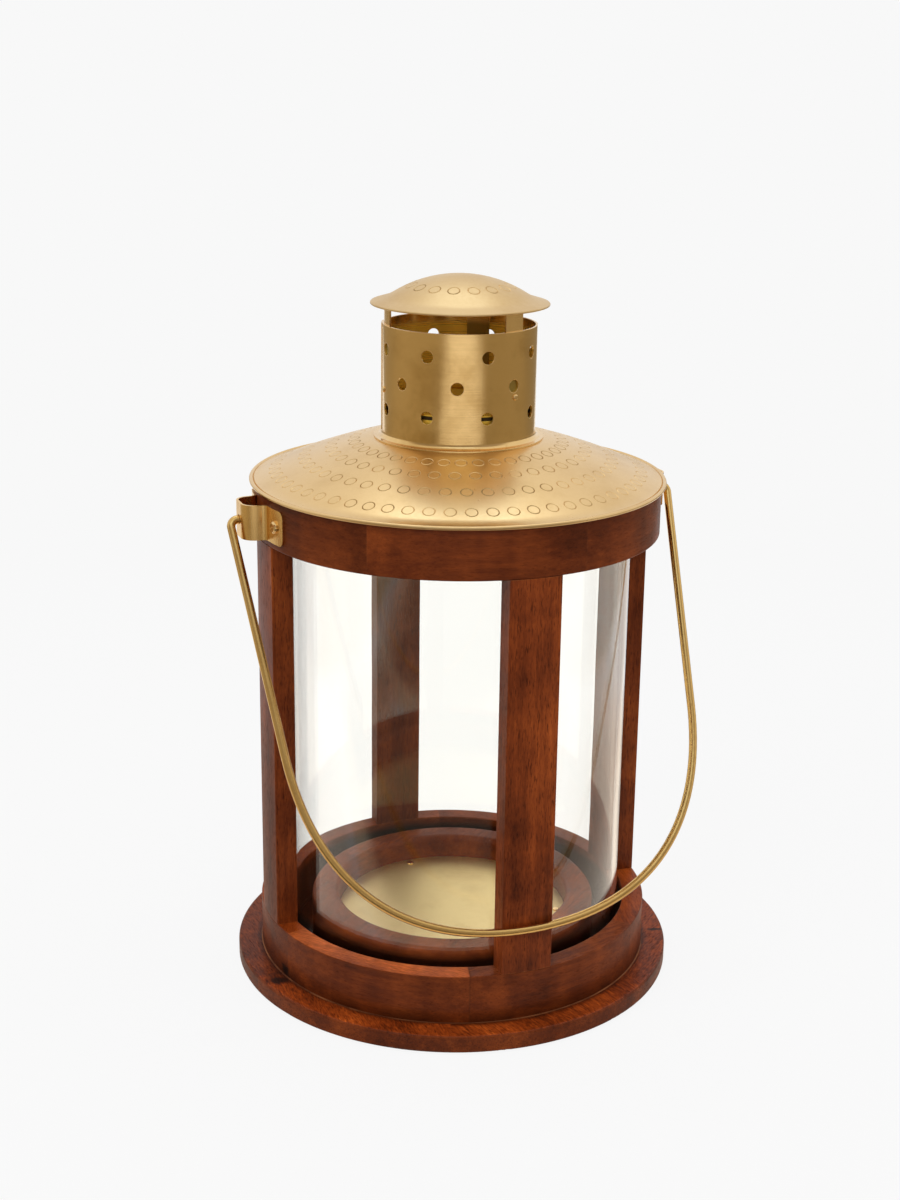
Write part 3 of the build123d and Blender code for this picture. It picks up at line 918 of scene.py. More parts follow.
@dataclass(frozen=True)
class CirclePunch:
    """The punch that marks the brass, in millimetres.

    Attributes:
        radius: Radius of the struck line.
        line: Width of the line.
        depth: Depth of the line.
        sides: Number of sides of the circle, a multiple of four.
    """

    radius: float = 2.5
    line: float = 0.52
    depth: float = 0.17
    sides: int = 16

    SLOPE_STEP: ClassVar[float] = 0.05
    WELD: ClassVar[float] = 0.004

    def strike(self, row: MarkRow, surface: Callable[[float], float]) -> bmesh.types.BMesh:
        """Makes a band of sheet with one row of struck circles.

        Args:
            row: The row.
            surface: Height of the sheet at a radius, in millimetres.

        Returns:
            The band, closed round the axis and open at both rims.
        """
        band = bmesh.new()
        self._flat_cell(band, row)
        self._bend(band, row, surface)
        everything = band.verts[:] + band.edges[:] + band.faces[:]
        bmesh.ops.spin(band, geom=everything, cent=(0, 0, 0), axis=(0, 0, 1), dvec=(0, 0, 0),
                       angle=FULL_TURN * (row.count - 1) / row.count, steps=row.count - 1,
                       use_merge=False, use_normal_flip=False, use_duplicate=True)
        bmesh.ops.remove_doubles(band, verts=band.verts, dist=self.WELD * MM)
        return band

    def _flat_cell(self, band: bmesh.types.BMesh, row: MarkRow) -> None:
        """Draws one struck circle in its patch of flat sheet, in millimetres.

        Args:
            band: The empty mesh to draw in.
            row: The row that the patch belongs to.
        """
        drawn = bmesh.ops.create_circle(band, cap_ends=True, segments=self.sides,
                                        radius=self.radius + self.line / 2)
        disc = drawn["verts"][0].link_faces[0]
        for sink in (-self.depth, self.depth):
            struck = bmesh.ops.inset_region(band, faces=[disc], thickness=self.line / 2, depth=sink,
                                            use_even_offset=True, use_boundary=True)
            for face in struck["faces"]:
                face.material_index = Skin.LINE
        rim = [edge for edge in band.edges if edge.is_boundary]
        corner = bmesh.ops.create_circle(band, cap_ends=False, segments=4, radius=math.sqrt(2))
        patch = list(dict.fromkeys(edge for vert in corner["verts"] for edge in vert.link_edges))
        bmesh.ops.rotate(band, verts=corner["verts"], matrix=Matrix.Rotation(math.pi / 4, 3, "Z"))
        half_width = math.pi * row.radius / row.count
        bmesh.ops.scale(band, verts=corner["verts"], vec=(half_width, row.reach, 1.0))
        cut = bmesh.ops.subdivide_edges(band, edges=patch, cuts=self.sides // 4 - 1)
        border = [part for part in cut["geom"] if isinstance(part, bmesh.types.BMEdge)]
        sheet = bmesh.ops.bridge_loops(band, edges=list(dict.fromkeys(border + patch)) + rim)
        for face in sheet["faces"]:
            face.material_index = Skin.SHEET

    def _bend(self, band: bmesh.types.BMesh, row: MarkRow, surface: Callable[[float], float]) -> None:
        """Lays the flat patch on the sheet's own curve.

        Args:
            band: The patch, in millimetres.
            row: The row that it belongs to.
            surface: Height of the sheet at a radius, in millimetres.
        """
        step = self.SLOPE_STEP
        for vert in band.verts:
            radius = row.radius + vert.co.y
            slope = (surface(radius + step) - surface(radius - step)) / (2 * step)
            tilt = math.hypot(1.0, slope)
            height = surface(radius) + vert.co.z / tilt
            radius -= vert.co.z * slope / tilt
            angle = math.radians(row.first) + vert.co.x / row.radius
            vert.co = Vector((radius * math.sin(angle), -radius * math.cos(angle), height)) * MM


def find_rims(shape: bmesh.types.BMesh) -> list[list[bmesh.types.BMEdge]]:
    """Sorts the open edges of a round shell into rims.

    Args:
        shape: The shell.

    Returns:
        The edges of each rim, the widest first.
    """
    steps_in_mm = 4
    rims: dict[int, list[bmesh.types.BMEdge]] = {}
    for edge in shape.edges:
        if edge.is_boundary:
            step = round(math.hypot(edge.verts[0].co.x, edge.verts[0].co.y) / MM * steps_in_mm)
            found = next((known for known in rims if abs(known - step) <= 1), step)
            rims.setdefault(found, []).append(edge)
    return [rims[step] for step in sorted(rims, reverse=True)]


def join_rims(shape: bmesh.types.BMesh, bands: list[bmesh.types.BMesh]) -> None:
    """Adds bands of sheet to a shell and bridges the open rims, from the widest inwards.

    Args:
        shape: The shell, open where the bands go.
        bands: The bands. They are freed.
    """
    for band in bands:
        mesh = bpy.data.meshes.new("band")
        band.to_mesh(mesh)
        band.free()
        shape.from_mesh(mesh)
        bpy.data.meshes.remove(mesh)
    rims = find_rims(shape)
    for outer, inner in zip(rims[0::2], rims[1::2]):
        sheet = bmesh.ops.bridge_loops(shape, edges=outer + inner)
        for face in sheet["faces"]:
            face.material_index = Skin.SHEET
    bmesh.ops.recalc_face_normals(shape, faces=shape.faces)


@dataclass
class PunchedLid:
    """The sheet brass lid with its rim bead, rows of punched circles and neck.

    Attributes:
        seat: Height of the lid's underside at the rim, in millimetres.
        sheet: Thickness of the sheet.
        bead_radius: Radius of the rim bead's centre line.
        bead: Half the thickness of the bead.
        bead_height: Height of the bead's centre.
        crease: Gap between the bead and the turned edge of the brim.
        turn: Width of that turned edge.
        turn_drop: How far the edge has dropped half way along its turn.
        crease_rise: Height of the crease's bottom above the bead's centre.
        under_turn: Width of the turn on the underside.
        brim: Radius where the dome leaves the flat brim.
        middle: Radius and height of the dome half way up.
        top: Radius where the dome meets the chimney's seat.
        chimney_seat: Height of that seat.
        neck: Inner radius of the neck, which stands clear of the chimney's wall.
        neck_top: Height of the neck's edge.
        neck_roll: Half the thickness of its rolled edge.
        roll_inset: How far the roll's centre lies inside the neck's outer face.
        shade: How far down from the neck's edge its outer wall is painted as shade, where the roll's shadow
            falls.
        shade_gap: Height of the unpainted strip above the painted shade.
        rows: Rows of punched circles, from the rim inwards.
        punch: The punch.
        steps: Steps of a full turn.
        inside_steps: Steps up the dome's inside.
        sharp: Edges that turn by more than this many degrees stay sharp.
    """

    seat: float = 227.0
    sheet: float = 0.8
    bead_radius: float = 90.2
    bead: float = 0.9
    bead_height: float = 227.1
    crease: float = 0.12
    turn: float = 0.5
    turn_drop: float = 0.06
    crease_rise: float = 0.1
    under_turn: float = 0.3
    brim: float = 87.5
    middle: Span = (63.0, 237.6)
    top: float = 38.5
    chimney_seat: float = 245.2
    neck: float = 30.5
    neck_top: float = 259.2
    neck_roll: float = 0.55
    roll_inset: float = 0.2
    shade: float = 1.7
    shade_gap: float = 0.1
    rows: list[MarkRow] = field(default_factory=lambda: [
        MarkRow(80.0, 59, -2.2, 4.2), MarkRow(67.2, 49, -4.4, 4.2),
        MarkRow(55.5, 41, -10.2, 4.0), MarkRow(45.5, 40, -7.6, 3.6)])
    punch: CirclePunch = field(default_factory=CirclePunch)
    steps: int = 240
    inside_steps: int = 14
    sharp: float = 26.0

    BRASS: ClassVar[SatinBrass] = SatinBrass(
        "lid_satin", Brushing.NONE, roughness=0.30, tarnish=0.28, relief=0.012, clean=(0.780, 0.532, 0.246))
    # A near-black finish that paints the shade below the neck's rolled edge.
    NEAR_BLACK: ClassVar[SatinBrass] = SatinBrass(
        "neck_painted_shade", Brushing.NONE, roughness=0.5, tarnish=0.3, relief=0.05,
        clean=(0.050, 0.030, 0.008), flue_light_and_shade=(0.050, 0.030, 0.008))

    def surface(self, radius: float) -> float:
        """Height of the dome's outer face.

        Args:
            radius: Distance from the axis, in millimetres.

        Returns:
            The height in millimetres.
        """
        first, second = Vector((self.brim, self.seat + self.sheet)), Vector(self.middle)
        third = Vector((self.top, self.chimney_seat))
        one, two = second - first, third - first
        cross = 2 * (one.x * two.y - one.y * two.x)
        across = (two.y * one.length_squared - one.y * two.length_squared) / cross
        up = (one.x * two.length_squared - two.x * one.length_squared) / cross
        reach = math.hypot(across, up)
        return first.y + up + math.sqrt(reach ** 2 - (radius - first.x - across) ** 2)

    def build(self, line: bpy.types.Material) -> bpy.types.Object:
        """Makes the lid.

        Args:
            line: Finish of the punched lines.

        Returns:
            The piece that stands for the CAD lid.
        """
        shell = bmesh.new()
        turn_profile(shell, draw_profile(shell, self._rim() + self._inside()), self.steps)
        join_rims(shell, [self.punch.strike(row, self.surface) for row in self.rows])
        # Paints the shade below the neck's rolled edge.
        self._paint_neck_shade(shell)
        sharpen(shell, self.sharp)
        materials = [self.BRASS.make(), line, self.NEAR_BLACK.make()]
        piece = make_piece("punched_lid", shell, "lid", materials)
        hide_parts("lid_dome")
        return piece

    def _paint_neck_shade(self, shell: bmesh.types.BMesh) -> None:
        """Marks the band of painted shade on the neck's outer wall, just below its rolled edge, where the
        roll's shadow falls.

        Args:
            shell: The lid's mesh.
        """
        wall, slack = self.neck + self.sheet, 0.4 * self.sheet
        low, high = self.neck_top - self.shade, self.neck_top - self.shade_gap
        for face in shell.faces:
            middle = face.calc_center_median() / MM
            if abs(math.hypot(middle.x, middle.y) - wall) < slack and low < middle.z < high:
                face.material_index = Skin.NEAR_BLACK

    def _rim(self) -> Profile:
        """Profile of the brim and its bead, from the dome outwards and round to the underside.

        Returns:
            Radius and height of each corner.
        """
        brim_top = self.seat + self.sheet
        crease = self.bead_radius - self.bead - self.crease
        bead = arc_points((self.bead_radius, self.bead_height), self.bead, 168.0, -172.0, 23)
        return [(self.brim, brim_top), (crease - self.turn, brim_top),
                (crease - self.turn / 2, brim_top - self.turn_drop),
                (crease, self.bead_height + self.crease_rise), *bead, (crease - self.under_turn, self.seat)]

    def _inside(self) -> Profile:
        """Profile of the dome's inside, the neck with its rolled edge and the chimney's seat.

        Returns:
            Radius and height of each corner.
        """
        radii = spread(self.brim, self.top, self.inside_steps)
        inside = [(radius, self.surface(radius) - self.sheet) for radius in radii]
        outer, roll = self.neck + self.sheet, self.neck_roll
        edge = arc_points((outer - self.roll_inset, self.neck_top + roll / 2), roll, 180.0, -75.0, 15)
        return [*inside, (self.neck, self.chimney_seat - self.sheet), *edge,
                (outer, self.neck_top - roll), (outer, self.neck_top - self.shade),
                (outer, self.chimney_seat), (self.top, self.chimney_seat)]


@dataclass
class ChimneyCap:
    """The spun cap over the chimney with its row of punched circles, in millimetres.

    Attributes:
        apex: Height of the top.
        dome: Radius of the dome where it meets the brim.
        corner: Height of the dome's edge.
        brim: Radius of the brim.
        brim_top: Height of the brim's edge.
        sheet: Thickness of the sheet.
        lip: Rounding of the brim's upper edge.
        under_lip: Rounding of its lower edge.
        cove: How far the hollow between dome and brim reaches each way.
        margin: Plain sheet on both sides of the punched band.
        row: The row of punched circles.
        punch: The punch.
        steps: Steps of a full turn.
        crown_steps: Steps from the apex to the punched band.
        flare_steps: Steps from the punched band to the brim.
        sharp: Edges that turn by more than this many degrees stay sharp.
    """

    apex: float = 315.0
    dome: float = 31.0
    corner: float = 305.4
    brim: float = 38.45
    brim_top: float = 303.2
    sheet: float = 0.8
    lip: float = 0.25
    under_lip: float = 0.2
    cove: float = 2.3
    margin: float = 0.8
    row: MarkRow = MarkRow(21.4, 16, -7.5, 3.7)
    punch: CirclePunch = field(default_factory=lambda: CirclePunch(line=0.56, depth=0.2))
    steps: int = 160
    crown_steps: int = 6
    flare_steps: int = 14
    sharp: float = 24.0

    BRASS: ClassVar[SatinBrass] = SatinBrass(
        "cap_satin", Brushing.NONE, roughness=0.42, tarnish=0.28, relief=0.012, clean=(0.700, 0.487, 0.234))

    def surface(self, radius: float) -> float:
        """Height of the cap's outer face, with the cove between dome and brim.

        Args:
            radius: Distance from the axis, in millimetres.

        Returns:
            The height in millimetres.
        """
        reach = (self.dome ** 2 + (self.apex - self.corner) ** 2) / (2 * (self.apex - self.corner))
        fall = (self.corner - self.brim_top) / (self.brim - self.dome)
        inner, outer = self.dome - self.cove, self.dome + self.cove
        if radius <= inner:
            return self.apex - reach + math.sqrt(reach ** 2 - radius ** 2)
        if radius >= outer:
            return self.corner - fall * (radius - self.dome)
        start, end = self.surface(inner), self.surface(outer)
        start_slope = -inner / math.sqrt(reach ** 2 - inner ** 2)
        share, span = (radius - inner) / (outer - inner), outer - inner
        return ((1 + 2 * share) * (1 - share) ** 2 * start + share * (1 - share) ** 2 * span * start_slope
                + share ** 2 * (3 - 2 * share) * end + share ** 2 * (share - 1) * span * -fall)

    def build(self, line: bpy.types.Material) -> bpy.types.Object:
        """Makes the cap.

        Args:
            line: Finish of the punched lines.

        Returns:
            The piece that stands for the CAD cap.
        """
        shell = bmesh.new()
        reach = self.row.reach + self.margin
        crown = spread(0.0, self.row.radius - reach, self.crown_steps)
        flare = spread(self.row.radius + reach, self.brim, self.flare_steps)[:-1]
        edge = [(self.brim, self.brim_top - self.lip),
                (self.brim, self.brim_top - self.sheet + self.under_lip),
                (self.brim - self.under_lip, self.brim_top - self.sheet)]
        outside = self._heights([*flare, self.brim - self.lip], 0.0)
        underside = self._heights([*reversed(flare), *reversed(crown)], self.sheet)
        turn_profile(shell, draw_profile(shell, self._heights(crown, 0.0)), self.steps)
        turn_profile(shell, draw_profile(shell, outside + edge + underside), self.steps)
        join_rims(shell, [self.punch.strike(self.row, self.surface)])
        sharpen(shell, self.sharp)
        piece = make_piece("punched_cap", shell, "lid", [self.BRASS.make(), line])
        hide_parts("chimney_cap")
        return piece

    def _heights(self, radii: list[float], below: float) -> Profile:
        """Profile along the cap's outer face, or a distance below it."""
        return [(radius, self.surface(radius) - below) for radius in radii]


@dataclass
class GlassShade:
    """The clear cylinder, slightly wavy as drawn glass is, in millimetres.

    Attributes:
        outer: Outer radius.
        wall: Thickness.
        bottom: Height of its foot.
        top: Height of its rim.
        lip: Rounding of both rims.
        wave: Depth of the waves in the walls.
        steps: Steps of a full turn.
        rings: Rings of faces up each wall.
        lip_steps: Steps round each rounding.
        sharp: Edges that turn by more than this many degrees stay sharp.
    """

    outer: float = 77.0
    wall: float = 2.5
    bottom: float = 8.0
    top: float = 221.0
    lip: float = 0.8
    wave: float = 0.09
    steps: int = 168
    rings: int = 56
    lip_steps: int = 5
    sharp: float = 50.0

    GLASS: ClassVar[DrawnGlass] = DrawnGlass("clear_glass_drawn")
    WAVES_ROUND: ClassVar[float] = 24.0
    WAVES_UP: ClassVar[float] = 30.0
    OUTER_LAYER: ClassVar[float] = 7.0
    INNER_LAYER: ClassVar[float] = 18.9

    def build(self) -> bpy.types.Object:
        """Makes the cylinder.

        Returns:
            The piece that stands for the CAD cylinder.
        """
        shape = bmesh.new()
        inner, lip = self.outer - self.wall, self.lip
        low, high = self.bottom + lip, self.top - lip
        rise = spread(low, high, self.rings)
        profile = [(self.outer, height) for height in rise]
        profile += arc_points((self.outer - lip, high), lip, 15.0, 90.0, self.lip_steps)
        profile += arc_points((inner + lip, high), lip, 90.0, 165.0, self.lip_steps)
        profile += [(inner, height) for height in reversed(rise)]
        profile += arc_points((inner + lip, low), lip, 195.0, 270.0, self.lip_steps)
        profile += arc_points((self.outer - lip, low), lip, 270.0, 345.0, self.lip_steps)
        turn_profile(shape, draw_profile(shape, profile, closed=True), self.steps)
        bmesh.ops.recalc_face_normals(shape, faces=shape.faces)
        for vert in shape.verts:
            self._sway(vert)
        sharpen(shape, self.sharp)
        piece = make_piece("glass_shade", shape, "lantern", [self.GLASS.make()])
        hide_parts("glass_cylinder")
        return piece

    def _sway(self, vert: bmesh.types.BMVert) -> None:
        """Moves a vertex of a wall into the glass, never past its true faces.

        Args:
            vert: The vertex.
        """
        radius = math.hypot(vert.co.x, vert.co.y)
        outside = radius > (self.outer - self.wall / 2) * MM
        layer = self.OUTER_LAYER if outside else self.INNER_LAYER
        spot = Vector((vert.co.x * self.WAVES_ROUND, vert.co.y * self.WAVES_ROUND,
                       vert.co.z * self.WAVES_UP + layer))
        inwards = (1.0 - noise.noise(spot)) / 2 * self.wave * MM
        stretch = 1 + (-inwards if outside else inwards) / radius
        vert.co.x *= stretch
        vert.co.y *= stretch


@dataclass(frozen=True)
class Board:
    """How one board of a ring differs from its neighbours.

    Attributes:
        tone: Brightness of its stain.
        skew: Angle of its grain to its chord, in degrees.
        top: Colour multiplied into its top face against its sides: painted light, and in the pale tints a
            painted sheen.
        dark_ends: Azimuths of its glue joints where the stain has soaked in, in degrees.
        knots: Its dark knots.
        seams: Azimuths of its glue joints that show as a dark hairline, in degrees.
    """

    tone: float
    skew: float
    top: Colour = WHITE
    dark_ends: tuple[float, ...] = ()
    knots: tuple[Knot, ...] = ()
    seams: tuple[float, ...] = ()


@dataclass(frozen=True)
class BoardRing:
    """Six boards glued into a ring.

    Attributes:
        stem: Start of the nodes' names.
        number: Number of the first board.
        figure: How strongly the bars across the grain show.
        flecks: How strongly the pores show.
        boards: The boards, from the front towards +X.
    """

    stem: str
    number: int
    figure: float
    flecks: float
    boards: tuple[Board, ...]

    def build(self) -> None:
        """Dresses the boards, each with its own figure along its own chord."""
        for index, board in enumerate(self.boards):
            node = f"{self.stem}_{index + 1}"
            finish = StainedWood(
                f"{node}_stain", GrainLine.LEVEL, azimuth_of(node) + board.skew, self.number + index,
                tone=board.tone, figure=self.figure, flecks=self.flecks, top=board.top,
                dark_ends=board.dark_ends, knots=board.knots, seams=board.seams)
            dress(node, finish.make())


@dataclass
class WoodenFrame:
    """The glued base, rings and posts, with the cup and dowels.

    Attributes:
        seam_radius: Radius of the lacquer line where the lower ring meets the base, in millimetres.
        seam_height: Height of that line.
        seam: Half its thickness.
        seam_steps: Steps of a full turn of it.
        seam_sharp: Its edges that turn by more than this many degrees stay sharp.
    """

    seam_radius: float = 89.12
    seam_height: float = 8.12
    seam: float = 0.36
    seam_steps: int = 180
    seam_sharp: float = 60.0

    RIGHT_KNOT: ClassVar[Knot] = Knot((96.2, 0.4, 8.0), (5.0, 1.3, 2.4), 4.0)
    LEFT_KNOT: ClassVar[Knot] = Knot((-77.0, -53.6, 8.0), (6.5, 4.2, 2.0), 4.0)
    FOOT_KNOT: ClassVar[Knot] = Knot((-74.2, -49.1, 10.6), (4.4, 4.4, 3.6))
    # Each board's third value is the colour of its top face: painted light, and in the pale tints a painted
    # sheen.
    RINGS: ClassVar[tuple[BoardRing, ...]] = (
        BoardRing("base_rim", 10, 0.55, 0.75, (
            Board(1.27, -88.0, (1.60, 1.42, 1.15), (60.0,)),
            Board(1.30, -28.0, (1.55, 1.40, 1.20), (60.0,), (RIGHT_KNOT,)),
            Board(1.10, 38.0, (1.2, 1.1, 1.0)),
            Board(1.20, -18.0, (1.3, 1.2, 1.0)),
            Board(1.08, 26.0, (1.2, 1.1, 1.0)),
            Board(1.28, -36.0, (1.72, 1.52, 1.22), (-60.0,), (LEFT_KNOT,)),
        )),
        BoardRing("lower_ring", 30, 0.5, 0.4, (
            Board(1.38, 0.0, (1.15, 1.2, 1.3), seams=(5.0,)),
            Board(1.34, 4.0, (1.5, 1.4, 1.2)),
            Board(1.10, -3.0, (1.2, 1.2, 1.2)),
            Board(1.18, 2.0, (1.2, 1.2, 1.2)),
            Board(1.12, -5.0, (1.8, 1.6, 1.2), knots=(FOOT_KNOT,)),
            Board(1.38, 3.0, (2.45, 2.75, 3.4), knots=(FOOT_KNOT,), seams=(5.0,)),
        )),
        BoardRing("upper_ring", 50, 0.45, 0.3, (
            Board(1.24, 2.0),
            Board(1.30, -4.0),
            Board(1.24, 3.0),
            Board(1.16, 0.0),
            Board(1.14, 5.0),
            Board(1.00, -2.0),
        )),
    )
    POST_TONES: ClassVar[tuple[float, ...]] = (1.95, 1.40, 1.20, 1.36)
    FIRST_POST: ClassVar[int] = 70
    SINGLE_PIECES: ClassVar[dict[str, StainedWood]] = {
        "base_core": StainedWood("base_core_stain", GrainLine.LEVEL, 35.0, 81),
        "candle_cup": StainedWood("cup_stain", GrainLine.LEVEL, 62.0, 85, tone=1.2, figure=0.6),
        "post_dowels": StainedWood("dowel_stain", GrainLine.UPRIGHT, 0.0, 90),
    }

    def build(self) -> None:
        """Dresses the boards and lays the lacquer line."""
        for ring in self.RINGS:
            ring.build()
        for index, tone in enumerate(self.POST_TONES):
            node = f"post_{index + 1}"
            board = StainedWood(f"{node}_stain", GrainLine.UPRIGHT, 0.0, self.FIRST_POST + index,
                                tone=tone, figure=0.3, flecks=0.75, banding=1.1)
            dress(node, board.make())
        for node, board in self.SINGLE_PIECES.items():
            dress(node, board.make())
        self._lacquer_line()

    def _lacquer_line(self) -> bpy.types.Object:
        """Makes the thin line of lacquer where the lower ring meets the base.

        Returns:
            The piece.
        """
        shape = bmesh.new()
        section = arc_points((self.seam_radius, self.seam_height), self.seam, 0.0, 315.0, 7)
        turn_profile(shape, draw_profile(shape, section, closed=True), self.seam_steps)
        bmesh.ops.recalc_face_normals(shape, faces=shape.faces)
        sharpen(shape, self.seam_sharp)
        lacquer = LacquerSeam("lacquer").make()
        return make_piece("lacquer_line", shape, "lantern", [lacquer])


@dataclass
class Metalwork:
    """The brass nodes that keep their CAD shape."""

    FINISHES: ClassVar[dict[SatinBrass, tuple[str, ...]]] = {
        # The chimney keeps the bright flue colour, painted light for its dim inside.
        SatinBrass("chimney_brushed", Brushing.ROUND, roughness=0.18, tarnish=0.7, relief=0.09,
                   clean=(0.800, 0.530, 0.222), edge=0.35): ("chimney",),
        # The legs' dark flue colour is painted shade inside the chimney.
        SatinBrass("leg_strip", Brushing.ROUND, roughness=0.25, tarnish=0.4, relief=0.03,
                   clean=(0.800, 0.530, 0.222), flue_light_and_shade=(0.300, 0.190, 0.030)):
            ("cap_leg_1", "cap_leg_2", "cap_leg_3"),
        SatinBrass("strap_satin", Brushing.ACROSS, roughness=0.26, tarnish=0.4, relief=0.06,
                   clean=(0.880, 0.565, 0.212)): ("handle_strap_left", "handle_strap_right"),
        SatinBrass("wire_drawn", Brushing.ACROSS, roughness=0.22, tarnish=0.5, relief=0.05,
                   clean=(0.700, 0.452, 0.158)): ("bail_handle",),
        SatinBrass("plate_satin", Brushing.NONE, roughness=0.50, tarnish=0.2, relief=0.06,
                   clean=(0.970, 0.780, 0.400)): ("candle_plate",),
        SatinBrass("collar_satin", Brushing.ROUND, roughness=0.35): ("lid_collar",),
        SatinBrass("fixing_bright", Brushing.NONE, roughness=0.2, tarnish=0.3, relief=0.03):
            ("plate_brads", "strap_screws", "leg_rivets"),
    }

    def build(self) -> None:
        """Dresses the chimney, its legs, the straps, the handle, the plate and the fixings."""
        for finish, nodes in self.FINISHES.items():
            material = finish.make()
            for node in nodes:
                dress(node, material)


# Studio


@dataclass(frozen=True)
class SoftBox:
    """A square studio lamp that reflections don't see.

    Attributes:
        name: Its name.
        place: Where it hangs.
        aim: What it points at.
        size: Its side.
        power: Its power in watts.
    """

    name: str
    place: Triple
    aim: Triple
    size: float
    power: float

    def hang(self) -> bpy.types.Object:
        """Adds the lamp to the scene.

        Returns:
            The lamp.
        """
        lamp = bpy.data.lights.new(self.name, "AREA")
        lamp.shape = "SQUARE"
        lamp.size = self.size
        lamp.energy = self.power
        holder = bpy.data.objects.new(self.name, lamp)
        holder.location = self.place
        holder.rotation_euler = (Vector(self.aim) - Vector(self.place)).to_track_quat("-Z", "Y").to_euler()
        holder.visible_glossy = False
        bpy.context.scene.collection.objects.link(holder)
        return holder


@dataclass(frozen=True)
class Axes:
    """Where a ray ends on the floor, in metres, or the way it goes into the sky.

    Attributes:
        across: To the right, along +X.
        back: Away behind the lantern, along +Y.
        up: Along +Z.
    """

    across: Signal
    back: Signal
    up: Signal

    @classmethod
    def split(cls, graph: Graph, where: Signal) -> "Axes":
        """Splits a vector into its three coordinates."""
        return cls(*(graph.axis(where, name) for name in "XYZ"))


@dataclass(frozen=True)
class Area:
    """A soft-edged area of the floor or the sky, as steps from 0 to 1 along each axis.

    Attributes:
        across: Steps along X.
        back: Steps along Y.
        up: Steps along Z.
    """

    across: tuple[Span, ...] = ()
    back: tuple[Span, ...] = ()
    up: tuple[Span, ...] = ()

    def share(self, axes: Axes) -> Signal:
        """1 inside the area, 0 outside it."""
        pairs = ((axes.across, self.across), (axes.back, self.back), (axes.up, self.up))
        return reduce(operator.mul, [axis.ramp(*span) for axis, spans in pairs for span in spans])


@dataclass(frozen=True)
class Sight:
    """How the floor or the sky shows to each kind of ray.

    Attributes:
        level: Its brightness.
        seen: 1 for the rays that see it, 0 for those that only light the lantern.
        dusk: Share of the dim room at the right behind the lantern.
        bent: 1 for the rays that come by a reflection.
    """

    level: Signal
    seen: Signal
    dusk: Signal
    bent: Signal


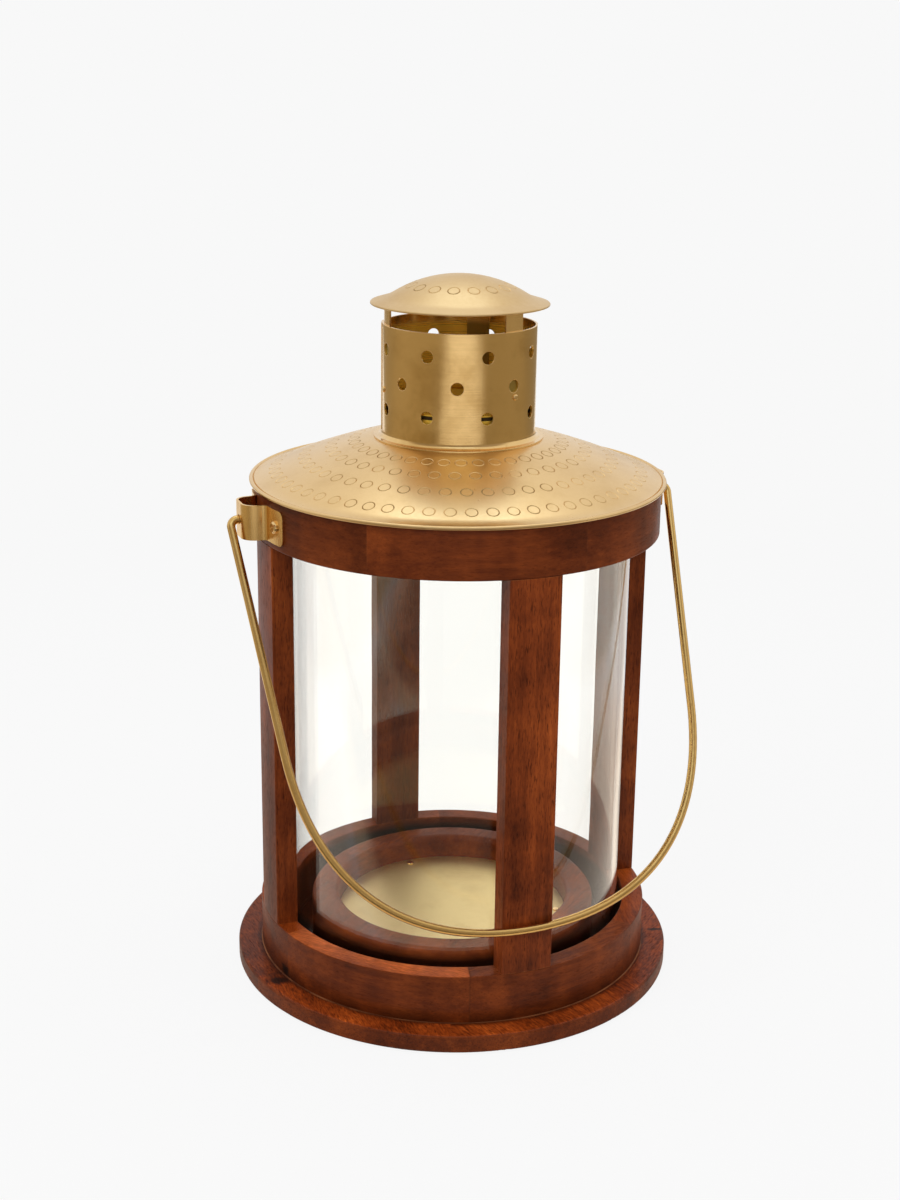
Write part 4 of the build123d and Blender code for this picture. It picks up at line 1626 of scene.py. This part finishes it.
@dataclass
class Studio:
    """The pale floor, the soft light and the camera at the photograph's angle.

    Reflections see a room that is drawn in areas on the floor and in the sky.

    Attributes:
        backdrop: Brightness of the background.
        ambient: Brightness of the light from all round.
        behind_glass: Brightness of the background through the glass.
        dusk: How much dimmer it is at the right behind the lantern.
        dim: Share of the backdrop that the room in front still gives to reflections.
        near: Brightness of the floor close in front, in reflections.
        window: Brightness of the white tables, in reflections.
        sides: Brightness of the floor beside them, in reflections.
        overhead: Brightness that the soft box overhead adds to reflections.
        front_card: Brightness that the card above the camera adds to reflections.
        floor_size: Half the floor's side.
        floor_height: Its height, a hair below the lantern.
        shadow: How much of the lantern's shadow the floor keeps.
        lift: How much brighter the floor is round the lantern, which makes up for the shadow.
        camera_place: The camera's place.
        camera_pitch: How far it looks down, in degrees.
        camera_roll: Its tilt to the side, in degrees.
        lens: Its focal length in millimetres.
        sensor: The long side of its picture in millimetres.
        clip: Nearest distance that it sees.
        boxes: The lamps.
    """

    backdrop: float = 0.939
    ambient: float = 0.38
    behind_glass: float = 1.15
    dusk: float = 0.66
    dim: float = 0.45
    near: float = 0.15
    window: float = 1.06
    sides: float = 0.43
    overhead: float = 1.35
    front_card: float = 0.6
    floor_size: float = 6.0
    floor_height: float = -0.0004
    shadow: float = 0.12
    lift: float = 0.075
    camera_place: Triple = (-0.00275, -0.7887, 0.4131)
    camera_pitch: float = 17.131
    camera_roll: float = 0.725
    lens: float = 55.30
    sensor: float = 36.0
    clip: float = 0.01
    boxes: tuple[SoftBox, ...] = (
        SoftBox("key_box", (-0.75, -0.95, 1.35), (0.0, 0.0, 0.14), 1.1, 10.0),
        SoftBox("top_box", (0.15, 0.35, 1.55), (0.0, 0.0, 0.2), 2.0, 9.0),
        SoftBox("side_box", (1.3, -0.35, 0.75), (0.0, 0.0, 0.14), 0.8, 3.5),
    )

    FLOOR_GREY: ClassVar[tuple[float, ...]] = (0.6, 0.6, 0.6, 1.0)
    SIDE_TINT: ClassVar[Colour] = (1.0, 0.83, 0.53)
    NEAR_TINT: ClassVar[Colour] = (1.0, 0.77, 0.54)
    CARD_TINT: ClassVar[Colour] = (0.86, 1.0, 1.18)
    FRONT_TINT: ClassVar[Colour] = (1.0, 0.90, 0.80)
    DUSK_TINT: ClassVar[Colour] = (1.0, 0.69, 0.49)

    FRONT_TABLE: ClassVar[Area] = Area(((-0.53, -0.45), (0.53, 0.45)), ((-1.05, -0.85),))
    TABLE_END: ClassVar[Area] = Area(((-0.65, -0.55), (0.87, 0.77)), ((-0.85, -1.05),))
    LEFT_TABLE: ClassVar[Area] = Area(((-0.74, -0.64), (-0.30, -0.40)), ((0.0, 0.15),))
    WARM_FLOOR: ClassVar[Area] = Area(((-0.55, -0.35), (0.55, 0.35)), ((-0.90, -0.83), (-0.10, -0.14)))
    BESIDE_TABLE: ClassVar[Area] = Area(((-0.86, -0.64), (0.86, 0.64)), ((-0.25, -0.5),))
    BESIDE_DIM: ClassVar[float] = 0.14
    RIGHT_FLOOR: ClassVar[Area] = Area(((0.40, 0.65),))
    RIGHT_DIM: ClassVar[float] = 0.07
    BACK_FLOOR: ClassVar[Area] = Area(back=((0.4, 0.8),))
    BACK_DIM: ClassVar[float] = 0.055
    NEAR_STEP: ClassVar[Span] = (-0.145, -0.175)
    CLOSE_REACH: ClassVar[Span] = (0.45, 0.28)
    CLOSE_STEP: ClassVar[Span] = (-0.13, -0.09)
    CLOSE_DIM: ClassVar[float] = 0.25
    CLOSE_WARMTH: ClassVar[float] = 0.6
    WARM_DIM: ClassVar[float] = 0.15
    FAR_REACH: ClassVar[Span] = (0.2, 0.8)
    FLOOR_BEHIND: ClassVar[Span] = (-0.2, -0.1)
    FRONT_SKY: ClassVar[Area] = Area(back=((-0.05, -0.5),), up=((0.88, 0.5),))
    OVERHEAD_BOX: ClassVar[Area] = Area(
        ((-0.45, -0.15), (0.45, 0.15)), ((0.0, 0.25),), ((0.74, 0.86), (0.99, 0.95)))
    CARD: ClassVar[Area] = Area(
        ((-0.5, -0.2), (0.5, 0.2)), ((-0.35, -0.5),), ((0.55, 0.68), (0.92, 0.82)))
    SKY_BEHIND: ClassVar[Span] = (-0.05, 0.05)
    LEFT_BEHIND: ClassVar[Span] = (-0.30, -0.45)
    DUSK_SLANT: ClassVar[float] = 0.14
    DUSK_START: ClassVar[Span] = (0.12, 0.24)
    DUSK_FADE: ClassVar[Span] = (0.3, 1.6)
    DUSK_FADE_SHARE: ClassVar[float] = 0.7
    DUSK_FRONT: ClassVar[Span] = (0.12, 0.0)
    DUSK_FRONT_SLANT: ClassVar[float] = 0.3

    def build(self) -> None:
        """Sets the whole studio up."""
        self._floor()
        self._world()
        for box in self.boxes:
            box.hang()
        self._camera()
        bpy.context.scene.view_settings.view_transform = "Standard"

    def _sight(self, graph: Graph, mirror: Signal, axes: Axes, behind_step: Span) -> Sight:
        """Brightness of the backdrop as the camera, the glass and the polish see it.

        Args:
            graph: The tree to draw in.
            mirror: Brightness in reflections.
            axes: Where a ray ends.
            behind_step: Where along Y the bright part behind the lantern starts.

        Returns:
            How it shows to each kind of ray.
        """
        camera, glossy = graph.ray("Is Camera Ray"), graph.ray("Is Glossy Ray")
        through = graph.ray("Is Transmission Ray") * (1.0 - camera)
        shiny = glossy * (1.0 - graph.maths("MAXIMUM", camera, through))
        straight = through * graph.maths("LESS_THAN", graph.ray("Glossy Depth"), 0.5)
        behind = graph.maths("MAXIMUM", axes.back.ramp(*behind_step), axes.across.ramp(*self.LEFT_BEHIND))
        behind = graph.maths("MAXIMUM", behind, straight)
        right = axes.across - self.DUSK_SLANT * axes.back
        dusk = right.ramp(*self.DUSK_START) * (1.0 - self.DUSK_FADE_SHARE * right.ramp(*self.DUSK_FADE))
        front = (axes.back - self.DUSK_FRONT_SLANT * axes.across).ramp(*self.DUSK_FRONT)
        dusk = dusk * (1.0 - straight * front)
        lit = behind * self.behind_glass * (1.0 - self.dusk * dusk) + (1.0 - behind) * mirror
        level = camera * self.backdrop + through * lit + shiny * mirror
        seen = graph.maths("MINIMUM", camera + through + shiny, 1.0)
        return Sight(level, seen, dusk * behind * through, glossy * (1.0 - straight))

    def _floor(self) -> bpy.types.Object:
        """Lays the floor.

        Returns:
            The floor.
        """
        shape = bmesh.new()
        bmesh.ops.create_grid(shape, x_segments=1, y_segments=1, size=self.floor_size)
        mesh = bpy.data.meshes.new("floor")
        shape.to_mesh(mesh)
        shape.free()
        mesh.materials.append(self._floor_finish())
        floor = bpy.data.objects.new("floor", mesh)
        floor.location.z = self.floor_height
        bpy.context.scene.collection.objects.link(floor)
        return floor

    def _floor_finish(self) -> bpy.types.Material:
        """Draws the floor, white to the camera with a soft shadow, and a room to reflections.

        Returns:
            The material.
        """
        material, graph = new_material("pale_floor")
        where = graph.position()
        axes = Axes.split(graph, where)
        away = graph.length(where)
        far = away.ramp(*self.FAR_REACH)
        white = graph.maths("MAXIMUM", self.FRONT_TABLE.share(axes), self.TABLE_END.share(axes))
        white = graph.maths("MAXIMUM", white, self.LEFT_TABLE.share(axes))
        warm = self.WARM_FLOOR.share(axes)
        near = warm * axes.back.ramp(*self.NEAR_STEP)
        close = away.ramp(*self.CLOSE_REACH) * axes.back.ramp(*self.CLOSE_STEP)
        mirror = self.sides - self.BESIDE_DIM * self.BESIDE_TABLE.share(axes)
        mirror = mirror - self.RIGHT_DIM * self.RIGHT_FLOOR.share(axes)
        mirror = mirror - self.BACK_DIM * self.BACK_FLOOR.share(axes)
        mirror = mirror + white * (self.window - mirror)
        mirror = mirror * (1.0 - near) * (1.0 - self.CLOSE_DIM * close - self.WARM_DIM * warm)
        mirror = mirror + near * self.near
        sight = self._sight(graph, mirror, axes, self.FLOOR_BEHIND)
        tint = graph.mix((1.0 - white) * sight.bent, WHITE, self.SIDE_TINT)
        warmth = graph.maths("MAXIMUM", warm, close * self.CLOSE_WARMTH)
        tint = graph.mix(warmth * sight.bent, tint, self.NEAR_TINT)
        tint = graph.mix(sight.dusk, tint, self.DUSK_TINT)
        matt = graph.node("ShaderNodeBsdfDiffuse", {}, {"Color": self.FLOOR_GREY})
        light = {"Color": tint, "Strength": sight.level * (1.0 + self.lift - self.lift * far)}
        glow = graph.node("ShaderNodeEmission", {}, light)
        graph.blend((1.0 - self.shadow + self.shadow * far) * sight.seen, matt, glow)
        return material

    def _world(self) -> None:
        """Draws the surroundings: white behind and above, dimmer in front as in a dark room."""
        world = bpy.data.worlds.new("studio")
        bpy.context.scene.world = world
        world.use_nodes = True
        graph = Graph(world.node_tree)
        axes = Axes.split(graph, graph.node("ShaderNodeTexCoord", {}, {}, "Generated"))
        front = self.FRONT_SKY.share(axes)
        overhead = self.OVERHEAD_BOX.share(axes)
        card = self.CARD.share(axes)
        mirror = self.backdrop * (1.0 - front * (1.0 - self.dim)) + overhead * self.overhead
        mirror = mirror + card * self.front_card
        sight = self._sight(graph, mirror, axes, self.SKY_BEHIND)
        cards = graph.maths("MINIMUM", card + overhead, 1.0) * sight.bent
        tint = graph.mix(front * sight.bent, WHITE, self.FRONT_TINT)
        tint = graph.mix(cards, tint, self.CARD_TINT)
        tint = graph.mix(sight.dusk, tint, self.DUSK_TINT)
        sky = {"Color": tint, "Strength": sight.level + (1.0 - sight.seen) * self.ambient}
        graph.node("ShaderNodeOutputWorld", {}, {"Surface": graph.node("ShaderNodeBackground", {}, sky)})

    def _camera(self) -> bpy.types.Object:
        """Sets the camera where the photograph was taken from.

        Returns:
            The camera.
        """
        lens = bpy.data.cameras.new("camera")
        lens.lens = self.lens
        lens.sensor_width = self.sensor
        lens.clip_start = self.clip
        camera = bpy.data.objects.new("camera", lens)
        look = Matrix.Rotation(math.radians(90 - self.camera_pitch), 4, "X")
        roll = Matrix.Rotation(math.radians(self.camera_roll), 4, "Z")
        camera.matrix_world = Matrix.Translation(self.camera_place) @ look @ roll
        bpy.context.scene.collection.objects.link(camera)
        bpy.context.scene.camera = camera
        return camera


def main() -> None:
    """Builds the lantern's pieces in order and sets the studio round them."""
    logging.basicConfig(level=logging.INFO, format="%(name)s: %(message)s")
    WoodenFrame().build()
    GlassShade().build()
    line = PunchedLine("punched_line").make()
    PunchedLid().build(line)
    ChimneyCap().build(line)
    Metalwork().build()
    Studio().build()


if __name__ == "__main__":
    main()
